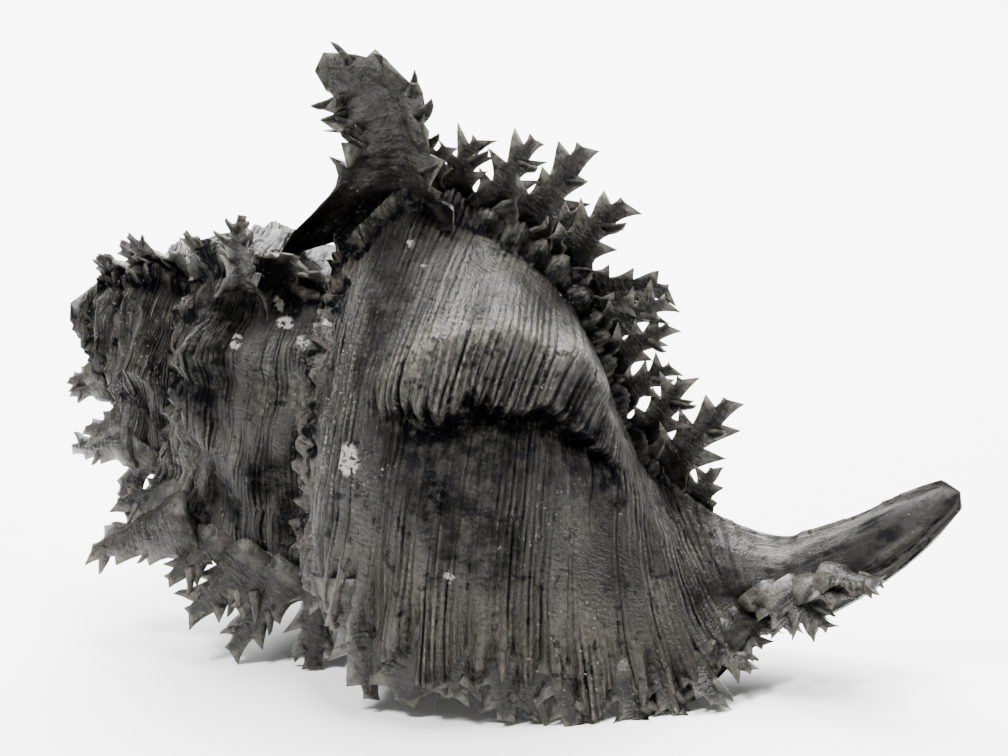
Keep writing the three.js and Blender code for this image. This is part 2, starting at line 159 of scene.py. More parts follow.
@dataclass(frozen=True)
class Coil:
    """The growth laws of the shell, and the place in space of any point on it."""

    swing: float = radians(17.0)
    dip: float = radians(14.5)
    apex: tuple[float, float, float] = (-103.7, 21.1, 76.0)
    lip_angle: float = radians(208.0)
    suture_law: tuple[float, float, float, float, float] = (86.0, 0.72, -6.0, 42.0, 0.45)
    shoulder_law: tuple[float, float, float, float, float] = (103.2, 0.64, -6.2, 65.0, 0.48)
    varix_at: float = -0.31
    lower: tuple = (
        ((80.0, 42.0), (118.0, 49.0), (141.0, 60.0)),
        ((100.0, 27.0), (130.0, 34.0), (160.0, 50.0)),
        ((124.0, 15.0), (142.0, 20.0), (178.0, 34.0)),
        ((150.0, 13.0), (156.0, 13.5), (184.0, 16.0)),
        ((190.0, 11.0), (190.0, 11.0), (192.0, 11.0)),
        ((211.0, 7.5), (211.0, 7.5), (211.0, 7.5)),
        ((220.0, 4.0), (220.0, 4.0), (220.0, 4.0)),
    )
    canal: tuple = (
        (0, 0), (100, 0), (130, -3), (152, -8), (172, -11), (188, -9), (200, 1), (211, 14),
        (222, 30),
    )

    def axes(self) -> tuple[np.ndarray, np.ndarray, np.ndarray]:
        """Unit vectors along the axis, upwards from it, and away to the back."""
        along = np.array([
            cos(self.swing) * cos(self.dip), -sin(self.swing) * cos(self.dip), -sin(self.dip)
        ])
        up = np.array([0.0, 0.0, 1.0]) - along * along[2]
        up /= np.linalg.norm(up)
        return along, up, np.cross(up, along)

    def canal_rise(self, a: np.ndarray) -> np.ndarray:
        """How far the middle of the shell stands above the coiling axis.

        Args:
            a: heights along the coiling axis.

        Returns:
            Heights above it in millimetres.
        """
        table = np.array(self.canal, float)
        a = np.asarray(a, float)
        total = np.zeros_like(a)
        for k in range(-3, 4):
            x = np.maximum(0.0, a + 2.5 * k)
            total += np.interp(x, table[:, 0], table[:, 1])
            total += np.maximum(0.0, x - 222.0) * (13.0 / 11.0)
        return total / 7.0

    def place(self, a: np.ndarray, r: np.ndarray, t: np.ndarray | float) -> np.ndarray:
        """Points in space from axis height, radius and growth.

        Args:
            a: heights along the coiling axis.
            r: distances from it.
            t: growth in turns.

        Returns:
            Points in millimetres.
        """
        along, up, away = self.axes()
        a, r = np.asarray(a, float), np.asarray(r, float)
        angle = self.lip_angle + TURN * np.asarray(t, float)
        slope = (self.canal_rise(a + 2.0) - self.canal_rise(a - 2.0)) / 4.0
        slope = slope * smooth((a - 184.0) / 14.0)
        high = r * np.sin(angle) / np.sqrt(1.0 + slope**2)
        lift, reach = high + self.canal_rise(a), r * np.cos(angle)
        return (
            np.array(self.apex) + (a - slope * high)[..., None] * along
            + reach[..., None] * away + lift[..., None] * up
        )

    @staticmethod
    def _law(law: tuple, t: float) -> np.ndarray:
        """Axis height and radius of one growth law."""
        return np.array([law[0] * exp(law[1] * t) + law[2], law[3] * exp(law[4] * t)])

    def suture(self, t: float) -> np.ndarray:
        """Where the turn starts on the turn before."""
        return self._law(self.suture_law, t)

    def _grown(self, sizes: tuple, t: float) -> np.ndarray:
        """A smooth value through its sizes one turn back, at the varix and at the lip.

        Args:
            sizes: the value at those three growths.
            t: growth in turns.

        Returns:
            The value at t.
        """
        v = self.varix_at
        back = (t - v) * t / ((-1 - v) * -1)
        varix = (t + 1) * t / ((v + 1) * v)
        lip = (t + 1) * (t - v) / -v
        return back * np.array(sizes[0]) + varix * np.array(sizes[1]) + lip * np.array(sizes[2])

    def controls(self, t: float) -> np.ndarray:
        """Control points of the generating curve at growth t.

        Args:
            t: growth in turns.

        Returns:
            Points as (axis, radius), the suture first.
        """
        top, widest = self.suture(t), self._law(self.shoulder_law, t)
        last = self.suture(t + 1) if t < -1 else self._grown(self.lower[0], t)
        ease = exp(0.6 * t)
        full = (1.2 if t < -1 else 1.2 + 3.8 * (1 + t)) * exp(0.5 * t)
        points = [
            top,
            (top + widest) / 2 + np.array([-1.0, 1.5]) * ease,
            widest,
            (widest + last) / 2 + np.array([0.0, full]),
            last,
        ]
        if t >= -1:
            points += [self._grown(sizes, t) for sizes in self.lower[1:]]
        return np.array(points)

    def curve(self, t: float, q: np.ndarray) -> tuple[np.ndarray, np.ndarray]:
        """The generating curve and its outward normals, both as (axis, radius).

        Args:
            t: growth in turns.
            q: places along the curve, 0 at the suture, 2 at the shoulder.

        Returns:
            Points and unit normals, one row to each q.
        """
        points = self.controls(t)
        last = len(points) - 1
        q = np.clip(np.asarray(q, float), 0.0, last)
        i = np.minimum(np.floor(q).astype(int), last - 1)
        f = (q - i)[:, None]
        p0, p1 = points[np.maximum(i - 1, 0)], points[i]
        p2, p3 = points[i + 1], points[np.minimum(i + 2, last)]
        bend, twist = 2 * p0 - 5 * p1 + 4 * p2 - p3, 3 * p1 - p0 - 3 * p2 + p3
        spot = 0.5 * (2 * p1 + (p2 - p0) * f + bend * f**2 + twist * f**3)
        way = 0.5 * ((p2 - p0) + 2 * bend * f + 3 * twist * f**2)
        normal = np.stack([-way[:, 1], way[:, 0]], -1)
        return spot, normal / np.maximum(np.linalg.norm(normal, axis=1), 1e-9)[:, None]


# ------------------------------------------------------------------ relief on the sheet


@dataclass(frozen=True)
class Varix:
    """One thickened former lip: a rib with a scallop behind every frond."""

    at: float
    rib: float
    fronds: tuple[float, ...]
    reach: float = 7.6
    sweep: float = 0.0

    def crest_at(self, q: np.ndarray) -> np.ndarray:
        """Growth of the crest, which swings towards the lip near the suture."""
        return self.at + self.sweep * smooth((1.9 - q) / 1.2)

    def scallop(self, q: np.ndarray) -> np.ndarray:
        """Wave along the rib, 1 at each frond and -1 between them.

        Args:
            q: places along the generating curve.

        Returns:
            Heights from -1 to 1.
        """
        marks = np.array(self.fronds)
        if len(marks) < 2:
            return np.ones_like(q)
        phase = np.interp(q, marks, np.arange(len(marks), dtype=float))
        outside = (q < marks[0] - 0.3) | (q > marks[-1] + 0.3)
        return np.where(outside, 0.0, np.cos(TURN * phase))

    def height(self, t: float, q: np.ndarray) -> np.ndarray:
        """How far the rib stands out at growth t.

        Args:
            t: growth in turns.
            q: places along the generating curve.

        Returns:
            Heights in millimetres.
        """
        reach = smooth(q / 0.9) * smooth((self.reach - q) / 1.6)
        wave = self.scallop(q)
        past = t - self.crest_at(q)
        body = ridge(past - 0.005 * wave, 0.0, 0.06, 0.009)
        flute = ridge(past, 0.0, 0.035, 0.009) * wave
        return self.rib * reach * (body + 0.35 * flute)


# The line of the brow's crest: place along the curve, growth.
BROW_LINE = (
    (2.1, -0.150), (2.4, -0.154), (2.8, -0.174), (3.1, -0.192), (3.4, -0.206), (3.8, -0.217),
    (4.1, -0.222), (4.5, -0.226), (5.2, -0.230), (5.9, -0.226),
)

# How far the fluted front of the brow reaches past the crest: place, depth in turns.
BROW_FRONT = ((2.1, 0.007), (2.5, 0.011), (2.8, 0.020), (3.1, 0.029), (3.4, 0.032), (4.1, 0.029),
              (5.2, 0.024))

# Knobs and notches along that crest: place, height, width.
BROW_KNOBS = (
    (2.75, 0.12, 0.14), (3.08, -0.16, 0.1), (3.42, 0.26, 0.16), (3.78, -0.2, 0.12),
    (4.12, 0.2, 0.13), (4.36, -0.12, 0.08), (4.62, 0.22, 0.13), (5.0, -0.1, 0.12),
)

# Lower axial nodes on the earlier turns: growth, height.
NODES = ((-1.13, 6.2), (-1.43, 5.0), (-1.75, 4.4), (-2.06, 3.6), (-2.4, 2.8), (-2.75, 2.0))


@dataclass(frozen=True)
class Relief:
    """Everything raised on the sheet, from the big ribs to the cords."""

    varices: tuple[Varix, ...]
    cords: int = 100
    cord_height: float = 0.36
    lumps: Grain = field(default_factory=lambda: Grain(11))
    fine: Grain = field(default_factory=lambda: Grain(23))

    def past_brow(self, t: float, q: np.ndarray) -> tuple[np.ndarray, np.ndarray]:
        """Growth past the crest of the brow, and how fully the brow stands at q.

        Args:
            t: growth in turns.
            q: places along the generating curve.

        Returns:
            Turns past the crest, and a weight from 0 to 1.
        """
        line = np.array(BROW_LINE)
        wander = 0.004 * self.lumps.at(q * 3.1, 7.0)
        past = t - np.interp(q, line[:, 0], line[:, 1]) - wander
        return past, smooth((q - 2.0) / 0.8) * smooth((5.75 - q) / 1.0)

    def overhang(self, t: float, q: np.ndarray) -> np.ndarray:
        """How far the crest leans over the lip side, in turns."""
        past, span = self.past_brow(t, q)
        return 0.013 * span * bell(past, self.brow_edge(q) - 0.002, 0.016)

    def brow(self, t: float, q: np.ndarray) -> np.ndarray:
        """The axial node: a knobbed shelf that overhangs the lip side.

        Args:
            t: growth in turns.
            q: places along the generating curve.

        Returns:
            Heights in millimetres.
        """
        past, span = self.past_brow(t, q)
        knob = 1.0 + sum(high * bell(q, at, wide) for at, high, wide in BROW_KNOBS)
        edge = self.brow_edge(q)
        rise = np.clip((past + 0.085) / 0.085, 0.0, 1.0) ** 1.6
        face = 1.0 - 0.5 * (past / edge) - 0.78 * np.clip((past - edge) / 0.008, 0.0, 1.0)
        fall = np.where(past < edge + 0.008, face, -0.28)
        level = np.where(past < 0, rise, fall)
        beyond = smooth((past - edge - 0.008) / 0.07)
        level = np.where(past > edge + 0.008, -0.28 * (1.0 - beyond), level)
        pit = 3.0 * bell(past, edge + 0.01, 0.012) * bell(q, 4.95, 0.3)
        return span * (9.2 * level * knob * (1.0 - 0.3 * smooth((q - 3.9) / 1.0)) - pit)

    def brow_edge(self, q: np.ndarray) -> np.ndarray:
        """Depth in turns of the brow's front face, with its ragged lower edge.

        Args:
            q: places along the generating curve.

        Returns:
            Depths in turns.
        """
        ragged = self.lumps.at(q * 5.3, 12.0) + 0.9 * self.fine.at(q * 14.0, 30.0)
        front = np.array(BROW_FRONT)
        return np.interp(q, front[:, 0], front[:, 1]) + 0.005 * ragged

    def node(self, t: float, q: np.ndarray) -> np.ndarray:
        """Weaker nodes and rough lumps on the earlier turns.

        Args:
            t: growth in turns.
            q: places along the generating curve.

        Returns:
            Heights in millimetres.
        """
        total = 0.0 * q
        for at, high in NODES:
            tilt = 0.018 * (q - 2.4)
            lump = ridge(t + tilt, at, 0.055, 0.02)
            total = total + high * lump * smooth((q - 0.9) / 0.8) * smooth((4.0 - q) / 0.9)
        early = smooth((-0.88 - t) / 0.15) * smooth(q / 0.5) * smooth((4.0 - q) / 0.4)
        rough = self.lumps.at(t * 13 + 2, q * 1.3 + 5) + 0.6 * self.lumps.at(t * 31, q * 2.9)
        rough = rough + 0.5 * self.fine.at(t * 75, q * 6.5 + 40)
        return total + 2.8 * exp(0.2 * t) * early * rough

    def flutes(self, t: float, q: np.ndarray) -> np.ndarray:
        """Crowded folds that deepen towards the edge of the lip.

        Args:
            t: growth in turns.
            q: places along the generating curve.

        Returns:
            Heights in millimetres.
        """
        grow = smooth((t + 0.058) / 0.05) if t > UPPER_TURNS else 0.0
        phase = 2.9 * q + 0.55 * self.lumps.at(q * 1.7, 21.0) + 6.0 * t
        wave = np.cos(TURN * phase)
        wave = np.sign(wave) * np.abs(wave) ** 0.8
        reach = smooth((q - 1.2) / 0.8) * smooth((7.6 - q) / 1.2)
        size = 1.0 + 0.5 * self.lumps.at(q * 2.3, 40.0)
        return 2.1 * grow * wave * reach * size

    def lamellae(self, t: float, q: np.ndarray) -> np.ndarray:
        """Thin overlapping growth scales crowded behind each varix.

        Args:
            t: growth in turns.
            q: places along the generating curve.

        Returns:
            Heights in millimetres.
        """
        total = np.zeros_like(q)
        for v in self.varices:
            near = smooth((t - v.at + 0.075) / 0.06) * (1.0 if t < v.at + 0.004 else 0.0)
            near = max(near, 0.75 * float(bell(t, v.at + 0.03, 0.016)))
            if near <= 0.01:
                continue
            wobble = 0.35 * self.lumps.at(q * 2.3 + 40 * v.at, t * 30)
            step = (t / 0.0125 + wobble) % 1.0
            total += near * (step**2.2) * v.rib * 0.17
        return total * smooth(q / 0.5)

    def fringe(self, t: float, q: np.ndarray) -> np.ndarray:
        """The rough frill along the suture.

        Args:
            t: growth in turns.
            q: places along the generating curve.

        Returns:
            Heights in millimetres.
        """
        near = 2.1 * bell(q, 0.38, 0.34) * smooth(q / 0.1)
        rough = self.fine.at(t * 150 + 7, q * 5) + 0.7 * self.fine.at(t * 310, q * 11)
        second = bell(q, 0.75, 0.12) * np.maximum(0.0, self.fine.at(t * 120 + 3, q * 3))
        return (near * (1.1 + 1.5 * rough) + 1.1 * second) * exp(0.35 * t)

    def lie(self, t: float, q: np.ndarray, cord: np.ndarray) -> tuple[np.ndarray, np.ndarray]:
        """Total height off the plain sheet, and how strongly the cords stand.

        Args:
            t: growth in turns.
            q: places along the generating curve.
            cord: cord numbers at those places.

        Returns:
            Heights in millimetres, and how strong the cords are, 0 to 1.5.
        """
        size = exp(0.4 * t)
        height = sum(v.height(t, q) for v in self.varices)
        height = height + (self.brow(t, q) if t > UPPER_TURNS else 0.0)
        height = height + self.node(t, q) + self.flutes(t, q)
        height = height + self.lamellae(t, q) + self.fringe(t, q)
        near_end = smooth(q / 0.3) * smooth((9.6 - q) / 0.8)
        calm = near_end * (1.0 - 0.8 * smooth((q - 6.2) / 1.6))
        height = height + 1.6 * size * self.lumps.at(t * 17, q * 1.6) * calm
        height = height + 0.7 * size * self.lumps.at(t * 60 + 3, q * 4.3 + 9) * calm
        crest = np.cos(TURN * (cord + 0.3 * self.lumps.at(t * 11, q * 2.1 + 17)))
        one = self.fine.at(np.floor(cord + 0.5) * 0.77, t * 14.0 + 3)
        wear = 0.62 + 0.75 * one + 0.5 * self.lumps.at(t * 9 + 5, q * 1.3)
        wear = np.clip(wear, 0.06, 1.7)
        third = 1.0 + 0.3 * np.cos(TURN * cord / 3.0)
        if t > UPPER_TURNS:
            past, span = self.past_brow(t, q)
            wear = wear + 0.7 * span * bell(past, 0.02, 0.016)
            wear = wear * (1.0 - 0.85 * bell(t, -0.262, 0.05) * bell(q, 3.7, 1.3))
        wear = wear * (1.0 - 0.92 * smooth((q - 6.6) / 1.4))
        height = height + self.cord_height * size**0.5 * crest * wear * third * near_end
        beads = self.fine.at(t * 210, cord * 2.0 + 31)
        height = height + 0.14 * size * beads * calm
        return height, np.clip(wear * near_end, 0.0, 1.5)


# ------------------------------------------------------------------ mesh under construction


class Sheet:
    """Vertices, faces and surface notes collected for one mesh, in millimetres."""

    def __init__(self) -> None:
        """Start empty."""
        self.points: list[np.ndarray] = []
        self.faces: list[tuple[int, ...]] = []
        self.notes: dict[str, list[np.ndarray]] = {k: [] for k in NOTES}
        self.count = 0

    def add(self, points: np.ndarray, **notes: np.ndarray | float) -> np.ndarray:
        """Adds points with their notes.

        Args:
            points: places in millimetres, one to a row.
            notes: values for the surface notes; those not given are 0.

        Returns:
            The new point numbers.
        """
        points = np.asarray(points, float).reshape(-1, 3)
        n = len(points)
        self.points.append(points)
        for name in NOTES:
            value = np.broadcast_to(np.asarray(notes.get(name, 0.0), float), (n,))
            self.notes[name].append(value)
        numbers = np.arange(self.count, self.count + n)
        self.count += n
        return numbers

    def grid(self, rows: list[np.ndarray], closed: bool = False) -> None:
        """Quads between neighbouring rows of equal length.

        Args:
            rows: point numbers, newest growth first.
            closed: whether each row is a ring.
        """
        for here, back in zip(rows, rows[1:]):
            n = len(here)
            for j in range(n if closed else n - 1):
                k = (j + 1) % n
                self.faces.append((int(back[j]), int(here[j]), int(here[k]), int(back[k])))

    def zip_up(self, first: list[int], second: list[int]) -> None:
        """Triangles between two lines of any lengths that run the same way.

        Args:
            first: point numbers on the side of the newer growth.
            second: point numbers on the other side.
        """
        i, j, n, m = 0, 0, len(first) - 1, len(second) - 1
        while i < n or j < m:
            if j >= m or (i < n and (i + 1) * m <= (j + 1) * n):
                face = (first[i], first[i + 1], second[j])
                i += 1
            else:
                face = (first[i], second[j + 1], second[j])
                j += 1
            if len(set(face)) == 3:
                self.faces.append(tuple(int(k) for k in face))

    def fan(self, ring: list[int], tip: int) -> None:
        """Triangles from a line of points to one tip."""
        for a, b in zip(ring, ring[1:]):
            if a != b:
                self.faces.append((int(a), int(b), int(tip)))

    def to_object(self, name: str) -> bpy.types.Object:
        """Writes the mesh, in metres, into the scene.

        Args:
            name: the object's name.

        Returns:
            The new object.
        """
        mesh = bpy.data.meshes.new(name)
        points = np.concatenate(self.points) * MM
        mesh.from_pydata(points.tolist(), [], self.faces)
        for note, parts in self.notes.items():
            layer = mesh.attributes.new(note, "FLOAT", "POINT")
            layer.data.foreach_set("value", np.concatenate(parts).astype(np.float32))
        mesh.polygons.foreach_set("use_smooth", np.ones(len(mesh.polygons), bool))
        mesh.update()
        piece = bpy.data.objects.new(name, mesh)
        bpy.context.scene.collection.objects.link(piece)
        return piece


# ------------------------------------------------------------------ the body of the shell


@dataclass(frozen=True)
class Aperture:
    """The oval opening: its middle, its half sizes and how it leans.

    The throat behind it shrinks by the rates over its length in turns.
    """

    axis: float = 119.0
    radius: float = 43.5
    half_long: float = 26.0
    half_wide: float = 18.0
    slant: float = 0.12
    throat_turns: float = 0.53
    axis_rate: float = 0.78
    radius_rate: float = 0.35
    size_rate: float = 0.75

    def out_from(self, a: np.ndarray, r: np.ndarray) -> np.ndarray:
        """Distance from the middle, 1 on the oval's edge.

        Args:
            a: heights along the coiling axis.
            r: distances from it.

        Returns:
            Distances in the oval's own half sizes.
        """
        over = a - self.axis
        out = r - self.radius + self.slant * over
        return np.hypot(over / self.half_long, out / self.half_wide)


APERTURE = Aperture()


@dataclass
class ShellBody:
    """The coiled sheet, closed at the first turn, the lip and the canal tip."""

    coil: Coil
    relief: Relief
    rows: int = 138
    last_columns: int = 300
    upper_columns: tuple[int, ...] = (108, 70, 44, 26)
    upper_rows: tuple[int, ...] = (96, 52, 28, 14)
    lip_columns: int = 122
    lip_rows: int = 28

    def times(self, turn: int, count: int) -> list[float]:
        """Growth of each row of a turn, closer together at the varices and near the lip.

        Args:
            turn: 0 for the last turn, 1 for the one before it and so on.
            count: number of steps in the turn.

        Returns:
            Growth values, newest first, both ends of the turn included.
        """
        fine = np.linspace(0.0, 1.0, 2001)
        crowd = np.ones_like(fine)
        for v in self.relief.varices:
            crowd += 1.7 * bell(fine, -v.at - turn, 0.022)
        if turn == 0:
            crowd += 1.1 * (1.0 - smooth((fine - 0.3) / 0.1)) + 0.8 * bell(fine, 0.0, 0.03)
            crowd += 0.7 * bell(fine, 0.19, 0.035)
        run = np.concatenate([[0.0], np.cumsum((crowd[1:] + crowd[:-1]) / 2)])
        at = np.interp(np.linspace(0.0, run[-1], count + 1), run, fine)
        return [-(turn + float(f)) for f in at]

    def spread(self, count: int, t: float, q_end: float) -> np.ndarray:
        """Places along the curve, evenly spaced over its length but wider on the canal.

        Args:
            count: number of places, both ends included.
            t: growth at which the spacing is even.
            q_end: the last place.

        Returns:
            Places q.
        """
        fine = np.linspace(0.0, q_end, 1200)
        spot, _ = self.coil.curve(t, fine)
        step = np.hypot(*np.diff(spot, axis=0).T)
        step = step / (1.0 + 0.6 * smooth((fine[1:] - 6.3) / 1.5))
        run = np.concatenate([[0.0], np.cumsum(step)])
        return np.interp(np.linspace(0.0, run[-1], count), run, fine)

    def cord_at(self, q: np.ndarray) -> np.ndarray:
        """Cord number at a place along the curve."""
        fine = self.spread(self.relief.cords * 3 + 1, EVEN_AT, CANAL_TIP)
        return np.interp(q, fine, np.arange(len(fine)) / 3.0)

    def row(self, sheet: Sheet, t: float, q: np.ndarray) -> np.ndarray:
        """One line of the sheet across the growth direction.

        Args:
            sheet: where the points go.
            t: growth in turns.
            q: places along the curve.

        Returns:
            The new point numbers.
        """
        spot, normal = self.coil.curve(t, q)
        cord = self.cord_at(q)
        high, strength = self.relief.lie(t, q, cord)
        spot = spot + normal * high[:, None]
        points = self.coil.place(spot[:, 0], spot[:, 1], t + self.relief.overhang(t, q))
        return sheet.add(points, crest=strength, grow=t, cord=cord, **self.stains(t, q))

    def stains(self, t: float, q: np.ndarray) -> dict[str, np.ndarray]:
        """Where the surface carries painted shade or dark stains, and where it is worn, tan or
        chalky.

        Args:
            t: growth in turns.
            q: places along the curve.

        Returns:
            Surface notes by name.
        """
        early = 1.0 if t < UPPER_TURNS else 0.0
        worn = 0.0 * q
        # Painted shade in the crease along the suture.
        deep = 0.9 * bell(q, 0.0, 0.2) * smooth((t + 3.6) / 0.8)
        for v in self.relief.varices:
            past_rib = t - v.crest_at(q)
            # Painted shadow just past each rib's crest, on the side of new growth.
            deep = deep + 0.95 * bell(past_rib, 0.011, 0.007) * smooth((7.5 - q) / 2)
            worn = worn + 0.6 * bell(past_rib, 0.0, 0.003) * smooth((7.5 - q) / 2)
        past, span = self.relief.past_brow(t, q)
        under = past - self.relief.brow_edge(q)
        # Painted shade under the brow's overhanging front.
        deep = deep + span * (1.1 * bell(under, 0.012, 0.012) + 0.62 * bell(under, 0.04, 0.03))
        worn = worn + span * (0.8 * bell(past, -0.003, 0.007) + 0.12 * bell(past, 0.012, 0.014))
        worn = worn + 0.6 * bell(t, -0.135, 0.008) * bell(q, 2.75, 0.16)
        warm = 0.9 * bell(t, -0.03, 0.05) * bell(q, 4.0, 1.9) + 0.9 * bell(q, 0.5, 0.4)
        blotch = self.relief.fine.at(t * 70.0, q * 3.0 + 60.0)
        deep = deep + 1.1 * bell(q, 0.5, 0.5) * smooth((blotch + 0.1) / 0.5)
        patch = self.relief.lumps.at(t * 24.0 + 9.0, q * 1.9 + 30.0)
        deep = deep + (0.5 + 0.2 * early) * smooth((patch - 0.2 + 0.06 * early) / 0.3)
        worn = worn + 0.35 * smooth((-0.25 - patch) / 0.35)
        warm = warm + 0.9 * span * bell(past, -0.008, 0.012)
        deep = deep + 0.1 * smooth((q - 6.8) / 1.2)
        return {"deep": deep, "worn": worn, "warm": warm, "chalk": self._chalk(t, q)}

    @staticmethod
    def _chalk(t: float, q: np.ndarray) -> np.ndarray:
        """How chalky the surface is.

        Args:
            t: growth in turns.
            q: places along the generating curve.

        Returns:
            Amounts from 0 upwards.
        """
        flakes = 0.0 * q
        for at, q0, size in CHALK:
            flakes = flakes + np.exp(-(((t - at) / (0.006 * size)) ** 2)
                                     - ((q - q0) / (0.13 * size)) ** 2)
        return flakes

    def build(self) -> Sheet:
        """Grows the sheet and closes it.

        Returns:
            The finished sheet.
        """
        sheet = Sheet()
        q_last = self.spread(self.last_columns + 1, EVEN_AT, CANAL_TIP)
        for mark in (BODY_FOOT, CANAL_MEET):
            q_last[int(np.argmin(np.abs(q_last - mark)))] = mark
        join = int(np.argmin(np.abs(q_last - BODY_FOOT)))
        meet = int(np.argmin(np.abs(q_last - CANAL_MEET)))
        rows = [self.row(sheet, t, q_last) for t in self.times(0, self.rows)]
        rows[-1][join] = rows[0][0]
        rows[-1][meet:] = rows[0][meet:]
        sheet.grid(rows)
        self._close_lip(sheet, rows[0], rows[-1], join, meet)
        tip = sheet.add(self._canal_tip(), deep=0.6)[0]
        sheet.fan([r[-1] for r in rows][::-1], tip)
        self._spire(sheet, rows, join)
        return sheet

    def _canal_tip(self) -> np.ndarray:
        """The blunt end of the canal."""
        along, up, _ = self.coil.axes()
        return self.coil.place(np.array(220.0), np.array(0.0), 0.0) + (along + up) * 1.6

    def _spire(self, sheet: Sheet, rows: list[np.ndarray], join: int) -> None:
        """Adds the earlier turns, each joined to the suture of the turn after it.

        Args:
            sheet: the sheet to add to.
            rows: the rows of the last turn.
            join: which column of the last turn meets the suture.
        """
        suture = [int(r[0]) for r in rows]
        edge = [int(k) for k in rows[-1][:join]]
        for turn, (columns, count) in enumerate(zip(self.upper_columns, self.upper_rows), 1):
            q = self.spread(columns + 1, -turn - 0.5, BODY_FOOT)[:-1]
            part = [self.row(sheet, t, q) for t in self.times(turn, count)[1:]]
            sheet.grid(part)
            sheet.zip_up(edge, [int(k) for k in part[0]])
            sheet.zip_up(suture, [edge[-1]] + [int(r[-1]) for r in part])
            suture = [edge[0]] + [int(r[0]) for r in part]
            edge = [int(k) for k in part[-1]]
        tip = sheet.add(self.coil.place(np.array(-7.0), np.array(0.1), 0.0), worn=0.5)[0]
        sheet.fan(suture + edge[1:] + [suture[0]], tip)

    def _close_lip(
        self, sheet: Sheet, lip: np.ndarray, back: np.ndarray, join: int, meet: int
    ) -> None:
        """Closes the ventral side between the lip and the curve one turn back.

        Args:
            sheet: the sheet to add to.
            lip: the newest row.
            back: the row one turn before.
            join: column where the row before meets the suture.
            meet: column where both rows meet on the canal.
        """
        outer = self._edge(0.0, self.spread(self.lip_columns, 0.0, CANAL_MEET)[1:-1])
        fine = np.linspace(BODY_FOOT, CANAL_MEET, 900)
        spot, _ = self.coil.curve(-1.0, fine)
        run = np.concatenate([[0], np.cumsum(np.hypot(*np.diff(spot, axis=0).T))])
        inner = self._edge(
            -1.0, np.interp(np.linspace(0, run[-1], self.lip_columns)[1:-1], run, fine)
        )
        lines = []
        for k in range(1, self.lip_rows):
            w = k / self.lip_rows
            spot = inner * (1 - w) + outer * w
            lift, deep = self._ventral(spot[:, 0], spot[:, 1], w)
            t = lift / (TURN * np.maximum(spot[:, 1], 9.0))
            points = self.coil.place(spot[:, 0], spot[:, 1], t)
            lines.append(sheet.add(points, deep=deep, worn=0.25, grow=w, cord=spot[:, 0] / 2.3))
        first = [int(k) for k in back[join:meet + 1]]
        last = [int(k) for k in lip[:meet + 1]]
        sheet.zip_up(first, [int(k) for k in lines[0]])
        sheet.grid(lines)
        sheet.zip_up([int(k) for k in lines[-1]], last)
        sheet.fan([int(x[0]) for x in lines], last[0])
        sheet.fan([int(x[-1]) for x in lines][::-1], last[-1])

    def _edge(self, t: float, q: np.ndarray) -> np.ndarray:
        """Points of the raised sheet at growth t, as (axis, radius).

        Args:
            t: growth in turns.
            q: places along the generating curve.

        Returns:
            The points, one row to each q.
        """
        spot, normal = self.coil.curve(t, q)
        high, _ = self.relief.lie(t, q, self.cord_at(q))
        return spot + normal * high[:, None]

    def _ventral(
        self, a: np.ndarray, r: np.ndarray, w: float
    ) -> tuple[np.ndarray, np.ndarray]:
        """Relief of the side with the aperture.

        Args:
            a: axis heights.
            r: radii.
            w: 0 at the body, 1 at the lip.

        Returns:
            Lift towards new growth in millimetres, and painted shade where the dish sinks.
        """
        far = APERTURE.out_from(a, r)
        edge = smooth(np.array(w / 0.14)) * smooth(np.array((1 - w) / 0.1))
        rim = 3.2 * bell(far, 1.13, 0.14)
        dish = -3.4 * smooth((far - 1.25) / 0.5) * sin(pi * w) * smooth((214 - a) / 30)
        folds = 0.55 * np.cos(TURN * a / 5.2 + 3 * w) * smooth((far - 1.05) / 0.2) * w
        scales = 0.5 * self.relief.fine.at(a * 0.35, r * 0.35 + 50)
        lift = (rim + dish + folds + scales) * edge
        # Painted shade where the dish sinks between the body and the lip.
        return lift, 0.35 * smooth((far - 1.3) / 0.4) * sin(pi * w)


# ------------------------------------------------------------------ fronds


@dataclass(frozen=True)
class Frond:
    """A leafy spine on a varix: a thin pleated blade, open on the side of new growth."""

    t: float
    q: float
    length: float
    width: float
    lean: float = 0.0
    curl: float = 0.0
    forward: float = 0.0
    nod: float = 0.0
    roll: float = 50.0
    waist: float = 0.52
    flare: float = 0.4
    base: float = 2.0
    thick: float = 1.0
    leaves: int = 1
    leaf: float = 4.3
    teeth: int = 3
    tooth: float = 4.2
    sides: int = 8
    sink: float = 3.5
    slope: float = 0.0
    inset: float = 0.0
    behind: float = 2.6
    point: float = 0.82

    @property
    def steps(self) -> int:
        """Rings in the blade: five to a tooth, and two more at the foot."""
        return 5 * self.teeth + 2

    def width_at(self, h: float) -> float:
        """Half width at height h, from 0 at the foot to 1 at the tip.

        Args:
            h: height as a share of the length.

        Returns:
            Half the width in millimetres.
        """
        mid = self.waist + (self.flare - self.waist) * smooth(h / 0.8)
        foot = (1.0 - self.waist) * exp(-((h / 0.2) ** 1.4))
        tip = 1.0 - smooth((h - 0.72) / 0.3) * self.point
        return float(self.width / 2 * (mid + foot) * tip + self.base * exp(-h / 0.13))


